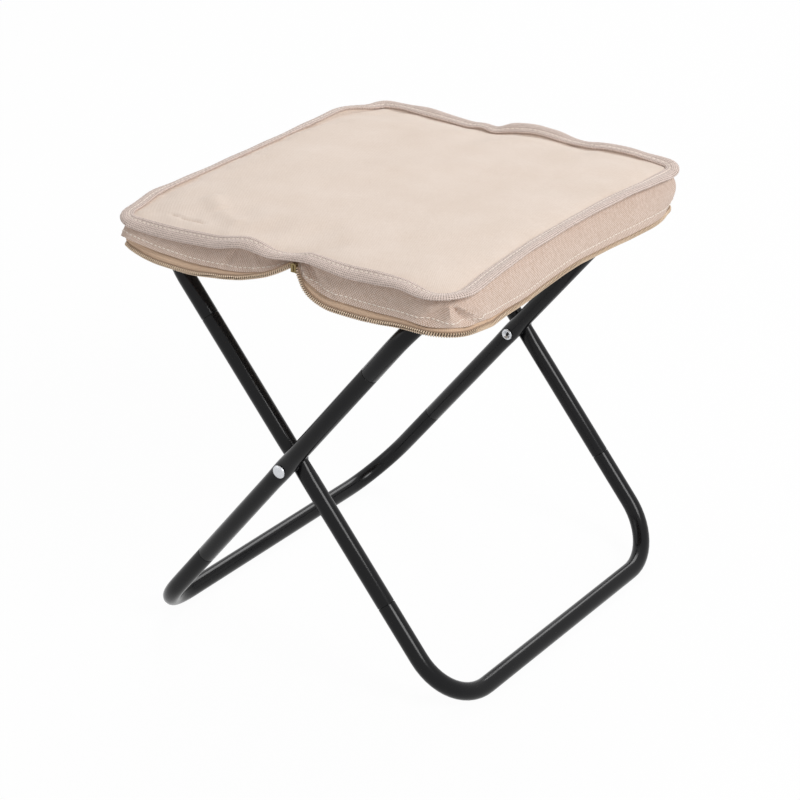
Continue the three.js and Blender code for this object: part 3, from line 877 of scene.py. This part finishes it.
FIN_TILT = RimSize(
    5,
    near=[(-165, 20), (-152, 36), (-135, 48), (-70, 44), (-50, 38), (-36, 28), (-26, 36), (-12, 24),
          (0, 6), (14, 0), (22, 8), (30, 18), (56, 26), (75, 38), (96, 40), (110, 30), (122, 17),
          (146, 10), (160, -4)],
    right=[(-165, -4), (-134, 0), (-94, -5), (0, -7), (50, -4), (110, -2), (140, 4), (165, 16)],
    far=[(160, -8), (142, -8), (128, 0), (89, -5), (76, -12), (63, 5), (49, 0), (36, -20), (23, -18),
         (10, -26), (-16, -34), (-30, -6), (-43, 5), (-56, 0), (-82, -10), (-109, -19), (-135, 0),
         (-160, -10)],
    left=[(165, -4), (140, 16), (70, 20), (35, 22), (0, 24), (-110, 20), (-135, 8), (-165, 2)],
)

# How far the rim is drawn inward
RIM_PINCH = RimSize(
    6,
    near=[(-165, 2), (-120, 0), (-50, 0), (-10, 1), (14, 4), (20, 5), (28, 3), (60, 0.5), (130, 0),
          (152, -2)],
    right=[(-165, -3), (-130, 0), (-60, 4), (0, 5.5), (60, 6), (120, 6), (165, 10)],
    far=[(165, 10), (140, 6), (100, 5), (60, 4), (40, 5), (20, 4), (-15, 6), (-29, 12), (-38, 9), (-90, 8),
         (-140, 9), (-165, 13)],
    left=[(165, 13), (150, -1), (135, -7), (100, -5), (0, -4), (-120, -4), (-165, 2)],
)

# How far the wall sinks in at half its height, and the power that curves it. At 1 it is straight.
WALL_SINK = RimSize(
    8,
    near=[(-150, 0), (-110, 1), (-60, 3), (-30, 4), (0, 3), (15, 0), (30, 2), (50, 1.5), (100, 1.5),
          (150, 0)],
    right=[(-150, -2.5), (0, -3.5), (140, -3.5), (160, -5)],
    far=[(160, -5), (140, -1), (60, 2), (20, 3), (-15, 0), (-50, -1), (-150, -1)],
    left=[(150, -2), (0, -3), (-150, -1)],
)
WALL_CURVE = RimSize(
    12,
    near=[(-165, 0.8), (-140, 1.2), (-20, 1.3), (30, 1.1), (60, 1.3), (120, 1.2), (150, 0.8)],
    right=[(-160, 0.75), (160, 0.75)],
    far=[(150, 0.8), (-150, 0.8)],
    left=[(150, 0.8), (-150, 0.8)],
)

# Height of the stitches over the hem
HEM_STITCH_RISE = RimSize(
    8,
    near=[(-160, 4.2), (-110, 3.4), (-60, 3), (20, 3), (60, 4.6), (150, 4.6)],
    right=[(-150, 5), (0, 6.2), (60, 7.2), (120, 7.8), (160, 6)],
    far=[(150, 5), (-150, 5)],
    left=[(150, 5), (-150, 5.6)],
)

# Pleats in the skirt: place as s, slope of the fold, half width at the hem, and how far it stands out
PLEATS = (
    (167, -0.75, 9, -5.5), (166, 0.05, 5, 4.5), (166, 0.5, 5, -4.5), (166, 1.0, 7, 4.8),
    (25, 0.5, 4, 2.6), (24, 1.1, 5, -2.6), (26, 1.8, 5, 1.8), (-38, -0.6, 7, -2.8), (-28, 0.4, 6, 2.4),
)


def rim(s, out):
    """Points out from the panel's rim by a number of millimetres."""
    s = np.mod(s, RIM_LENGTH)
    turn = np.interp(s, RIM_STOPS, RIM_TURNS)
    reach = SEAT_CORNER + out - RIM_PINCH(s)
    x = np.interp(s, RIM_STOPS, RIM_CORE_X) + reach * np.cos(turn)
    y = np.interp(s, RIM_STOPS, RIM_CORE_Y) + reach * np.sin(turn)
    return x, y


def points(s, out, height):
    x, y = rim(s, out)
    return np.stack([x, y, height + 0 * x], axis=-1)


def ripple(places, size, seed):
    """Soft waves from -1 to 1, the same on every run."""
    shift = Vector((seed, 2 * seed, 3 * seed))
    flat = np.asarray(places).reshape(-1, 3)
    waves = [noise.noise(Vector(place) / size + shift) for place in flat]
    return np.array(waves).reshape(np.asarray(places).shape[:-1])


# Cloth tools


def new_piece(name, places, faces):
    mesh = bpy.data.meshes.new(name)
    mesh.from_pydata(places, [], faces)
    piece = bpy.data.objects.new(name, mesh)
    bpy.context.collection.objects.link(piece)
    return piece


def running_sum(steps):
    return np.concatenate([[0], np.cumsum(steps)])


def unit(vectors):
    return vectors / np.linalg.norm(vectors, axis=-1, keepdims=True)


def cloth_mesh(name, rows, closed=False):
    """A surface through rows of points in millimetres, with its map of the cloth in metres."""
    rows = np.asarray(rows) * MM
    count, sides = rows.shape[:2]
    around = np.concatenate([rows, rows[:, :1]], axis=1) if closed else rows
    lengths = running_sum(np.linalg.norm(np.diff(rows, axis=0), axis=2).mean(axis=1))
    widths = running_sum(np.linalg.norm(np.diff(around, axis=1), axis=2).mean(axis=0))
    faces = []
    places = []
    for i in range(count - 1):
        for j in range(sides if closed else sides - 1):
            k = (j + 1) % sides
            faces.append((i * sides + j, (i + 1) * sides + j, (i + 1) * sides + k, i * sides + k))
            for a, b in ((i, j), (i + 1, j), (i + 1, j + 1), (i, j + 1)):
                places += (lengths[a], widths[b])
    if closed:
        last = (count - 1) * sides
        for end in (range(sides), range(last, last + sides)):
            faces.append(tuple(end))
            places += [0] * (2 * sides)
    piece = new_piece(name, rows.reshape(-1, 3).tolist(), faces)
    piece.data.uv_layers.new(name="cloth").data.foreach_set("uv", places)
    if closed:
        face_out(piece)
    return piece


def thicken(piece, thickness, offset=-1.0):
    solid = piece.modifiers.new("thickness", "SOLIDIFY")
    solid.thickness = thickness * MM
    solid.offset = offset
    solid.use_even_offset = True
    apply_modifiers(piece)


def spread(start, end, step):
    return np.linspace(start, end, max(2, round(abs(end - start) / step) + 1))


# Bends: the two bodies, and where the first ends and the second starts
SPINE_BLENDS = {
    "left": ("seat_left", "seat_spine", (-BLEND_OUTER, FOLD_HEIGHT), (-BLEND_INNER, FOLD_HEIGHT)),
    "right": ("seat_spine", "seat_right", (BLEND_INNER, FOLD_HEIGHT), (BLEND_OUTER, FOLD_HEIGHT)),
}
END_BLENDS = {
    "left": ("seat_left", "left_end", *half_turned([END_BLEND_START, END_BLEND_END])),
    "right": ("seat_right", "right_end", END_BLEND_START, END_BLEND_END),
}

# Pieces round the rim: where each starts and ends, and the bend it follows
SKIRT_STRETCHES = (
    ("left_near", -END_PIECE, NOTCH_X, SPINE_BLENDS["left"]),
    ("right_near", NOTCH_X + NOTCH_GAP, END_PIECE, SPINE_BLENDS["right"]),
    ("right_end", END_PIECE, FAR_MIDDLE - END_PIECE, END_BLENDS["right"]),
    ("right_far", FAR_MIDDLE - END_PIECE, FAR_MIDDLE + NOTCH_X, SPINE_BLENDS["right"]),
    ("left_far", FAR_MIDDLE + NOTCH_X + NOTCH_GAP, FAR_MIDDLE + END_PIECE, SPINE_BLENDS["left"]),
    ("left_end", FAR_MIDDLE + END_PIECE, RIM_LENGTH - END_PIECE, END_BLENDS["left"]),
)
SEAT_HALVES = (
    ("right", 0, FAR_MIDDLE, SPINE_BLENDS["right"]),
    ("left", FAR_MIDDLE, RIM_LENGTH, SPINE_BLENDS["left"]),
)


def bend_with(piece, crossing):
    """Bakes a finished piece's place into its mesh. The start and end of the bend between its two bodies are
    worked out but not used.
    """
    first, second, (start_x, start_z), (end_x, end_z) = crossing
    start = (start_x * MM, 0, start_z * MM)
    end = (end_x * MM, 0, end_z * MM)
    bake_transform(piece)


def sew_in(piece, crossing, slot, material, *nodes):
    """Finishes a cloth piece with its material and smoothing, and hides the nodes it stands for."""
    dress(piece, None, material, CLOTH_SMOOTH)
    bend_with(piece, crossing)
    if nodes:
        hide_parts(*nodes)


# Binding: a folded tape that stands out as a fin


def fin(s, along, lift):
    """Points along the fin from its sewn edge, lifted off its middle."""
    tilt = np.radians(FIN_TILT(s))
    mean_tilt = tilt + FIN_CURL * (along / FIN_WIDTH - 1)
    local_tilt = tilt + FIN_CURL * (2 * along / FIN_WIDTH - 1)
    out = FIN_ROOT_OUT + along * np.cos(mean_tilt) + lift * np.sin(local_tilt)
    height = EDGE_HEIGHT(s) + FIN_ROOT_RISE - along * np.sin(mean_tilt) + lift * np.cos(local_tilt)
    return points(s, out, height)


def build_binding():
    other_face = [(along, -lift) for along, lift in reversed(FIN_FACE)]
    section = [*FIN_FACE, (FIN_WIDTH, 0), *other_face]
    for side, start, end, crossing in SEAT_HALVES:
        s = spread(start, end, STITCH_PITCH / FIN_ROWS_PER_STITCH)
        pucker = 1 + FIN_PUCKER * np.sin(2 * math.pi * s / STITCH_PITCH)
        rows = []
        for along, lift in section:
            wave = FIN_WAVE * np.sin(s / FIN_WAVE_RUN + along / FIN_WAVE_SLANT) * np.sin(s / FIN_WAVE_SWELL)
            rows.append(fin(s, along + 0 * s, lift * pucker + wave * along / FIN_WIDTH))
        piece = cloth_mesh(f"binding_tape_{side}", np.stack(rows, axis=1), closed=True)
        nodes = (f"binding_{side}", "binding_spine_near", "binding_spine_far")
        sew_in(piece, crossing, "binding", BINDING, *nodes)


# Skirt


def wall(s, share):
    """Points up the skirt's wall, from 0 at its hem to 1 under the binding."""
    return points(s, wall_out(s, share), hem_height(s) + wall_height(s) * share)


def zip_height(s):
    return np.minimum(ZIP_HEIGHT(s), EDGE_HEIGHT(s) - ZIP_CLEARANCE)


def hem_height(s):
    return np.minimum(zip_height(s) + HEM_RISE(s), EDGE_HEIGHT(s) - WALL_TOP_DROP - WALL_LEAST)


def wall_out(s, share):
    out = WALL_TOP_OUT + (HEM_OUT(s) - WALL_TOP_OUT) * (1 - share) ** WALL_CURVE(s)
    out = out - WALL_SINK(s) * np.sin(math.pi * share)
    fallen = (1 - share) * wall_height(s)
    for at, slope, half, stand in PLEATS:
        around = np.mod(s - at + FAR_MIDDLE, RIM_LENGTH) - FAR_MIDDLE
        aside = np.abs(around - slope * fallen) / (PLEAT_TIP + half * (1 - share))
        out = out + stand * np.clip(1 - aside, 0, 1) * np.sin(math.pi * share ** PLEAT_LOW)
    return out


def wall_height(s):
    return EDGE_HEIGHT(s) - WALL_TOP_DROP - hem_height(s)


def cloth_area(piece):
    """The area of one face of a thickened cloth."""
    return sum(face.area for face in piece.data.polygons) / 2


def build_skirt():
    nodes = {
        "left_near": ("wall_left_near", "gusset_near"),
        "right_near": ("wall_right_near",),
        "right_far": ("wall_right_far", "gusset_far"),
        "left_far": ("wall_left_far",),
        "right_end": ("end_wall_right", "corner_right_near", "corner_right_far"),
        "left_end": ("end_wall_left", "corner_left_near", "corner_left_far"),
    }
    for name, start, end, crossing in SKIRT_STRETCHES:
        s = spread(start, end, CLOTH_STEP)
        rows = np.stack([wall(s, share) for share in np.linspace(0, 1, WALL_ROWS)], axis=1)
        fade = np.sin(np.linspace(HEM_RIPPLE_TURN, math.pi, WALL_ROWS))
        wave = ripple(rows, WALL_RIPPLE_SIZE, WALL_RIPPLE_SEED) * fade * WALL_RIPPLE
        rows[:, :, :2] += unit(rows[:, :, :2]) * wave[:, :, None]
        piece = cloth_mesh(f"skirt_{name}", rows)
        thicken(piece, WALL_THICKNESS)
        area = cloth_area(piece)
        sew_in(piece, crossing, "skirt", SKIRT, *nodes[name])
        length = (end - start) * MM
        flat = (length, area / length * SHEET_MARGIN)


# Zip


def zip_line(s):
    return points(s, HEM_OUT(s) + ZIP_LEAN(s), zip_height(s) + COIL_RADIUS)


def build_tape():
    for name, start, end, crossing in SKIRT_STRETCHES:
        s = spread(start, end, CLOTH_STEP)
        low = zip_height(s) + 2 * COIL_RADIUS - TAPE_OVERLAP
        high = np.maximum(hem_height(s) + TAPE_TUCK, low + TAPE_TUCK)
        low_out = HEM_OUT(s) + ZIP_LEAN(s)
        wall_share = np.minimum(TAPE_TUCK / wall_height(s), 1)
        high_out = wall_out(s, wall_share) - WALL_THICKNESS - TAPE_THICKNESS - TAPE_RECESS
        rows = []
        for share in TAPE_ROWS:
            ridge = TAPE_RIDGE * math.exp(-(((share - TAPE_RIDGE_AT) / TAPE_RIDGE_HALF) ** 2))
            out = low_out + (high_out - low_out) * share + ridge
            rows.append(points(s, out, low + (high - low) * share))
        piece = cloth_mesh(f"zip_tape_{name}", np.stack(rows, axis=1))
        thicken(piece, TAPE_THICKNESS)
        half = name.split("_")[0]
        sew_in(piece, crossing, "zip_tape", ZIP_TAPE, f"zip_tape_{half}")


def ring_frames(line):
    """Side and upward directions at each point of a line."""
    forward = unit(np.gradient(line, axis=0))
    side = unit(np.cross(forward, (0, 0, 1.0)))
    return side, np.cross(side, forward)


def tube_rows(line, radius, sides):
    """Rings of points round a line."""
    side, up = ring_frames(line)
    turns = np.arange(sides)[None, :, None] * 2 * math.pi / sides
    return line[:, None] + radius * (side[:, None] * np.cos(turns) + up[:, None] * np.sin(turns))


def build_coil():
    """A helix of nylon wound round a cord, with the row of thread that holds it to the tape. The cord is
    coloured as painted shade between the turns, and the thread partly as painted shade above the coil.
    """
    for name, start, end, crossing in SKIRT_STRETCHES:
        middle = zip_line(spread(start, end, COIL_PITCH / COIL_STEPS))
        side, up = ring_frames(middle)
        run = running_sum(np.linalg.norm(np.diff(middle, axis=0), axis=1))
        turn = (2 * math.pi * run / COIL_PITCH)[:, None]
        wound = COIL_RADIUS - COIL_THREAD_RADIUS
        helix = middle + wound * (side * np.cos(turn) + up * np.sin(turn))
        cord_line = middle[::COIL_STEPS]
        seam_line = (middle + COIL_RADIUS * (SEAM_ASIDE_SHARE * side + SEAM_UP_SHARE * up))[::COIL_STEPS]
        coil_rows = tube_rows(helix, COIL_THREAD_RADIUS, COIL_THREAD_SIDES)
        coil = cloth_mesh(f"zip_coil_{name}", coil_rows, closed=True)
        cord = cloth_mesh(f"zip_cord_shade_{name}", tube_rows(cord_line, CORD_RADIUS, CORD_SIDES), closed=True)
        seam = cloth_mesh(f"zip_seam_shade_{name}", tube_rows(seam_line, SEAM_RADIUS, SEAM_SIDES), closed=True)
        half = name.split("_")[0]
        sew_in(coil, crossing, "zip_coil", NYLON, f"zip_coil_{half}")
        sew_in(cord, crossing, "zip_tape", CORD_SHADE)
        sew_in(seam, crossing, "zip_tape", SEAM_THREAD_AND_SHADE)


# Stitches


def stitch_mesh(name, line, normals):
    """Short rounded stitches along a line, each sunk into the cloth at its ends."""
    run = running_sum(np.linalg.norm(np.diff(line, axis=0), axis=1))
    count = int(run[-1] / STITCH_PITCH)
    places = []
    faces = []
    for k in range(count):
        middle = (k + 0.5) * run[-1] / count
        stops = [middle + share * STITCH_LENGTH for share, _, _ in STITCH_RINGS]
        centers = np.stack([np.interp(stops, run, line[:, axis]) for axis in range(3)], axis=1)
        normal = np.array([np.interp(middle, run, normals[:, axis]) for axis in range(3)])
        forward = centers[-1] - centers[0]
        forward /= np.linalg.norm(forward)
        normal -= forward * (normal @ forward)
        normal /= np.linalg.norm(normal)
        side = np.cross(forward, normal)
        first = len(places)
        for center, (_, swell, lift) in zip(centers, STITCH_RINGS):
            for j in range(STITCH_SIDES):
                turn = 2 * math.pi * j / STITCH_SIDES
                ring = side * math.cos(turn) + normal * math.sin(turn) * STITCH_FLAT_SHARE
                point = center + normal * lift * STITCH_RADIUS + ring * STITCH_RADIUS * swell
                places.append(tuple(point * MM))
        for i in range(len(STITCH_RINGS) - 1):
            for j in range(STITCH_SIDES):
                a = first + i * STITCH_SIDES + j
                b = first + i * STITCH_SIDES + (j + 1) % STITCH_SIDES
                faces.append((a, b, b + STITCH_SIDES, a + STITCH_SIDES))
        faces.append(tuple(range(first + STITCH_SIDES - 1, first - 1, -1)))
        last = first + (len(STITCH_RINGS) - 1) * STITCH_SIDES
        faces.append(tuple(range(last, last + STITCH_SIDES)))
    return new_piece(name, places, faces)


def surface_normals(line, across):
    """Directions out of a cloth at a line, from a second line a little across it."""
    return unit(np.cross(np.gradient(line, axis=0), across - line))


def build_stitches():
    for side, start, end, crossing in SEAT_HALVES:
        s = spread(start, end, STITCH_LINE_STEP)
        line = fin(s, FIN_STITCH_AT, FIN_STITCH_LIFT)
        normals = -surface_normals(line, fin(s, FIN_STITCH_AT + ACROSS_STEP, FIN_STITCH_LIFT))
        piece = stitch_mesh(f"binding_stitches_{side}", line, normals)
        sew_in(piece, crossing, "binding", THREAD)
    for name, start, end, crossing in SKIRT_STRETCHES:
        s = spread(start, end, STITCH_LINE_STEP)
        share = np.clip(HEM_STITCH_RISE(s) / wall_height(s), 0, HEM_STITCH_HIGHEST)
        line = wall(s, share)
        normals = surface_normals(line, wall(s, share + ACROSS_SHARE))
        piece = stitch_mesh(f"hem_stitches_{name}", line + normals * HEM_STITCH_LIFT, normals)
        sew_in(piece, crossing, "skirt", THREAD)


# Cover and lining


def panel_line(half, step):
    """Even steps across the panel, with a closer one at each edge."""
    inner = half - PANEL_EDGE_STEP
    even = np.linspace(-inner, inner, 2 * round(inner / step) + 1)
    return np.concatenate([[-half], even, [half]])


def panel_grid(step, inset):
    """Points over the whole panel, with its rounded corners, up to a distance inside its rim."""
    across = panel_line(SEAT_X - inset, step)
    along = panel_line(SEAT_Y - inset, step)
    x, y = np.meshgrid(across, along, indexing="ij")
    corner = SEAT_CORNER - inset
    a = np.clip((np.abs(x) - CORE_X) / corner, 0, 1)
    b = np.clip((np.abs(y) - CORE_Y) / corner, 0, 1)
    x = np.where(a * b > 0, np.sign(x) * (CORE_X + corner * a * np.sqrt(1 - b * b / 2)), x)
    y = np.where(a * b > 0, np.sign(y) * (CORE_Y + corner * b * np.sqrt(1 - a * a / 2)), y)
    return x, y


def nearest_rim(x, y):
    """s of the nearest place on the rim, and how far inside it the point lies."""
    s = np.arange(0, RIM_LENGTH, RIM_STEP)
    turn = np.interp(s, RIM_STOPS, RIM_TURNS)
    rim_x = np.interp(s, RIM_STOPS, RIM_CORE_X) + SEAT_CORNER * np.cos(turn)
    rim_y = np.interp(s, RIM_STOPS, RIM_CORE_Y) + SEAT_CORNER * np.sin(turn)
    gaps = np.hypot(x[..., None] - rim_x, y[..., None] - rim_y)
    nearest = gaps.argmin(axis=-1)
    return s[nearest], gaps.min(axis=-1), turn[nearest]


def diffuse(edge_values):
    """Fills a grid smoothly from the values on its border."""
    values = edge_values.copy()
    values[1:-1, 1:-1] = values[1:-1, 1:-1].mean()
    for _ in range(DIFFUSE_ROUNDS):
        around = values[:-2, 1:-1] + values[2:, 1:-1] + values[1:-1, :-2] + values[1:-1, 2:]
        values[1:-1, 1:-1] = around / 4
    return values


def ease(values):
    values = np.clip(values, 0, 1)
    return values * values * (3 - 2 * values)


def soft_folds(x, y, length, width, seed):
    """Waves that run slantwise across the seat."""
    along = x * math.cos(FOLD_TURN) + y * math.sin(FOLD_TURN)
    aside = y * math.cos(FOLD_TURN) - x * math.sin(FOLD_TURN)
    return ripple(np.stack([along / length, aside / width, 0 * x], axis=-1), 1, seed)


def crease(x, y, start, end, width):
    """A ridge of height 1 along a straight line, fading out at its sides and ends."""
    start, end = np.array(start), np.array(end)
    length = np.linalg.norm(end - start)
    forward = (end - start) / length
    along = (x - start[0]) * forward[0] + (y - start[1]) * forward[1]
    aside = (y - start[1]) * forward[0] - (x - start[0]) * forward[1]
    middle = np.clip(1 - np.abs(2 * along / length - 1), 0, 1)
    return ease(middle * 2) * np.exp(-((aside / width) ** 2))


def panel_rows(step, inset, lift, crown):
    """Points of the panel at the height of its edge, higher by lift all over and by crown inside."""
    x, y = panel_grid(step, inset)
    s, depth, turn = nearest_rim(x, y)
    height = diffuse(EDGE_HEIGHT(s)) + lift + crown * ease(depth / CROWN_REACH)
    inward = RIM_PINCH(s) * np.exp(-depth / PINCH_FADE)
    return np.stack([x - inward * np.cos(turn), y - inward * np.sin(turn), height], axis=-1)


def relaxed(rows):
    """Lets the cover settle as slack cloth, held all round its edge."""
    piece = cloth_mesh("settling_cloth", rows)
    held = piece.vertex_groups.new(name="held")
    count, sides = rows.shape[:2]
    numbers = np.arange(count * sides).reshape(count, sides)
    inside = numbers[1:-1, 1:-1]
    rim_points = np.setdiff1d(numbers, inside).tolist()
    held.add(rim_points, 1.0, "REPLACE")
    cloth = piece.modifiers.new("cloth", "CLOTH")
    for key, value in CLOTH_SETTINGS.items():
        setattr(cloth.settings, key, value)
    cloth.settings.effector_weights.gravity = 0
    cloth.collision_settings.use_collision = False
    for number in range(1, COVER_FRAMES + 1):
        bpy.context.scene.frame_set(number)
    shaped = piece.evaluated_get(bpy.context.evaluated_depsgraph_get())
    places = np.array([tuple(vert.co) for vert in shaped.data.vertices]) / MM
    bpy.context.scene.frame_set(1)
    bpy.data.objects.remove(piece)
    moved = places.reshape(rows.shape) - rows
    return rows + np.clip(moved, -COVER_MOVE, COVER_MOVE)


def half_panel(name, rows, side):
    """The rows on one side of the seat's middle line, which both halves share."""
    middle = len(rows) // 2
    return cloth_mesh(name, rows[middle:] if side == "right" else rows[:middle + 1])


def press_creases(piece):
    """Adds the sharp creases, which need a finer mesh than the cloth."""
    places = np.empty(3 * len(piece.data.vertices))
    piece.data.vertices.foreach_get("co", places)
    places = places.reshape(-1, 3)
    x, y = places[:, 0] / MM, places[:, 1] / MM
    for start, end, height, width in COVER_CREASES:
        places[:, 2] += crease(x, y, start, end, width) * height * MM
    piece.data.vertices.foreach_set("co", places.ravel())


def build_cover():
    rows = panel_rows(COVER_STEP, COVER_INSET, 0, COVER_CROWN)
    rows = relaxed(rows)
    x, y = rows[:, :, 0], rows[:, :, 1]
    for length, width, height, seed in COVER_FOLDS:
        rows[:, :, 2] += soft_folds(x, y, length, width, seed) * height
    s, depth, _ = nearest_rim(*panel_grid(COVER_STEP, COVER_INSET))
    rows[:, :, 2] -= COVER_DIP * np.exp(-(((depth - COVER_DIP_AT) / COVER_DIP_REACH) ** 2))
    sewn = depth < COVER_SEWN
    rows[sewn, 2] = fin(s[sewn], -FIN_ROOT_OUT - COVER_INSET, 0)[:, 2]
    for side, _, _, crossing in SEAT_HALVES:
        piece = half_panel(f"seat_cover_{side}", rows, side)
        smooth = piece.modifiers.new("smooth", "SUBSURF")
        smooth.levels = SMOOTH_LEVELS
        smooth.render_levels = SMOOTH_LEVELS
        apply_modifiers(piece)
        press_creases(piece)
        thicken(piece, COVER_THICKNESS)
        sew_in(piece, crossing, "canvas", CANVAS, f"cover_{side}", f"pad_{side}", "cover_spine")


def build_lining():
    rows = panel_rows(LINING_STEP, LINING_INSET, -COVER_THICKNESS - COVER_DIP - LINING_GAP, 0)
    wave = ripple(rows, LINING_RIPPLE_SIZE, LINING_RIPPLE_SEED) * LINING_RIPPLE
    rows[:, :, 2] = np.minimum(rows[:, :, 2], LINING_HEIGHT) + wave
    for side, _, _, crossing in SEAT_HALVES:
        piece = half_panel(f"seat_lining_{side}", rows, side)
        thicken(piece, LINING_THICKNESS)
        sew_in(piece, crossing, "lining", LINING, f"lining_{side}", "lining_spine")


# Loops for the top bars, slider and puller


def build_loops():
    """Each loop comes down beside its bar, goes round below it and ends on the bar's top."""
    path = [(-LOOP_WING, LOOP_TOP), (-LOOP_RADIUS - LOOP_EASE, LOOP_TOP)]
    for k in range(LOOP_STEPS + 1):
        turn = LOOP_START + LOOP_TURN * k / LOOP_STEPS
        path.append((LOOP_RADIUS * math.cos(turn), LOOP_RADIUS * math.sin(turn)))
    path += [(LOOP_RADIUS + LOOP_EASE, LOOP_TOP), (LOOP_WING, LOOP_TOP)]
    for side, way in (("left", -1), ("right", 1)):
        rows = []
        for y in spread(-LOOP_HALF, LOOP_HALF, LOOP_ROW_STEP):
            sway = LOOP_SWAY * math.sin(y / LOOP_SWAY_RUN)
            row = []
            for x, z in path:
                height = BAR_HEIGHT / MM + z + (sway if z < 0 else 0)
                row.append((BAR_X / MM * way + x, y - way * LOOP_SHIFT, height))
            rows.append(row)
        piece = cloth_mesh(f"bar_sleeve_{side}", rows)
        thicken(piece, LOOP_THICKNESS, 0)
        dress(piece, f"seat_{side}", LINING)
        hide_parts(f"bar_loop_{side}")


def bevelled_block(name, at, size, edge):
    deselect()
    bpy.ops.mesh.primitive_cube_add(size=1, location=[place * MM for place in at])
    block = named(name)
    block.scale = [length * MM for length in size]
    bpy.ops.object.transform_apply(location=True, rotation=True, scale=True)
    bevel = block.modifiers.new("edges", "BEVEL")
    bevel.width = edge * MM
    bevel.segments = BLOCK_ROUND_STEPS
    apply_modifiers(block)
    return block


def narrow_below(block, height, share):
    """Narrows the part of a block below a height, as a slider's throat is."""
    verts = block.data.vertices
    middle = sum(vert.co.x for vert in verts) / len(verts)
    for vert in verts:
        if vert.co.z < height * MM:
            vert.co.x = middle + (vert.co.x - middle) * share


def slider_block(name, shift, size, edge):
    at = [place + step for place, step in zip(SLIDER_AT, shift)]
    return bevelled_block(name, at, size, edge)


def build_slider():
    plates = [slider_block(*row) for row in SLIDER_PLATES]
    for plate in plates:
        narrow_below(plate, SLIDER_AT[2] + NARROW_BELOW, NARROW_SHARE)
    inside = [slider_block(*row) for row in SLIDER_INSIDE]
    choose(plates[0])
    for part in [*plates[1:], *inside]:
        part.select_set(True)
    bpy.ops.object.join()
    slider = named("brass_slider")
    dress(slider, "seat_spine", BRASS, SLIDER_SMOOTH)
    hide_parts("zip_slider")


def build_puller():
    x, y, z = PULLER_PIN
    at = (x, y + PULLER_SIZE[1] / 2, z)
    tab = bevelled_block("brass_puller", at, PULLER_SIZE, PULLER_ROUND)
    dress(tab, "puller", BRASS, SLIDER_SMOOTH)
    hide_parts("zip_puller")


build_binding()
build_skirt()
build_tape()
build_coil()
build_stitches()
build_cover()
build_lining()
build_loops()
build_slider()
build_puller()


# Stage, lights and camera


def stage_finish():
    """White where the camera looks at it, and a plain pale floor for light and shadow."""
    finish = Finish("stage", Roughness=0.9)
    finish.set("Base Color", STAGE_COLOR)
    rays = finish.node("ShaderNodeLightPath", {}, {})
    seen = (rays["Is Camera Ray"] + rays["Is Glossy Ray"] + rays["Is Transmission Ray"]).clamp()
    white = finish.nodes.new("ShaderNodeEmission")
    white.inputs["Color"].default_value = (1, 1, 1, 1)
    white.inputs["Strength"].default_value = 1
    mixer = finish.nodes.new("ShaderNodeMixShader")
    finish.feed(mixer.inputs[0], seen * STAGE_WHITE_SHARE)
    finish.links.new(finish.shader.outputs[0], mixer.inputs[1])
    finish.links.new(white.outputs[0], mixer.inputs[2])
    finish.links.new(mixer.outputs[0], finish.nodes["Material Output"].inputs["Surface"])
    return finish.material


def build_stage():
    deselect()
    bpy.ops.mesh.primitive_plane_add(size=STAGE_SIZE, location=(0, 0, 0))
    floor = named("floor")
    floor.data.materials.append(stage_finish())


def area_light(name, at, size, power):
    deselect()
    facing = (Vector(LIGHT_TARGET) - Vector(at)).to_track_quat("-Z", "Y").to_euler()
    bpy.ops.object.light_add(type="AREA", location=at, rotation=facing)
    lamp = bpy.context.object
    lamp.name = name
    lamp.data.shape = "DISK"
    lamp.data.size = size
    lamp.data.energy = power


def build_world():
    """White where the camera looks at it, and a plain grey that lights the object."""
    world = bpy.data.worlds.new("studio")
    bpy.context.scene.world = world
    world.use_nodes = True
    nodes = world.node_tree.nodes
    links = world.node_tree.links
    rays = nodes.new("ShaderNodeLightPath")
    seen = rays.outputs["Is Camera Ray"]
    for ray in ("Is Transmission Ray", "Is Glossy Ray"):
        either = nodes.new("ShaderNodeMath")
        either.operation = "MAXIMUM"
        links.new(seen, either.inputs[0])
        links.new(rays.outputs[ray], either.inputs[1])
        seen = either.outputs[0]
    mixer = nodes.new("ShaderNodeMix")
    mixer.data_type = "RGBA"
    mixer.inputs[6].default_value = (WORLD_LEVEL, WORLD_LEVEL, WORLD_LEVEL, 1)
    mixer.inputs[7].default_value = (1, 1, 1, 1)
    links.new(seen, mixer.inputs[0])
    links.new(mixer.outputs[2], nodes["Background"].inputs["Color"])


def build_camera():
    back = Vector((
        math.sin(CAMERA_TURN) * math.cos(CAMERA_RISE),
        -math.cos(CAMERA_TURN) * math.cos(CAMERA_RISE),
        math.sin(CAMERA_RISE),
    ))
    level = Vector((math.cos(CAMERA_TURN), math.sin(CAMERA_TURN), 0))
    upright = back.cross(level)
    cosine = math.cos(CAMERA_ROLL)
    sine = math.sin(CAMERA_ROLL)
    right = cosine * level + sine * upright
    up = cosine * upright - sine * level
    at = CAMERA_TARGET + back * CAMERA_DISTANCE
    deselect()
    bpy.ops.object.camera_add()
    camera = bpy.context.object
    camera.matrix_world = Matrix.Translation(at) @ Matrix((right, up, back)).transposed().to_4x4()
    camera.data.sensor_width = SENSOR
    camera.data.lens = LENS
    bpy.context.scene.camera = camera


build_stage()
build_world()
build_camera()
for name, at, size, power in LIGHTS:
    area_light(name, at, size, power)
bpy.context.scene.view_settings.view_transform = "Standard"
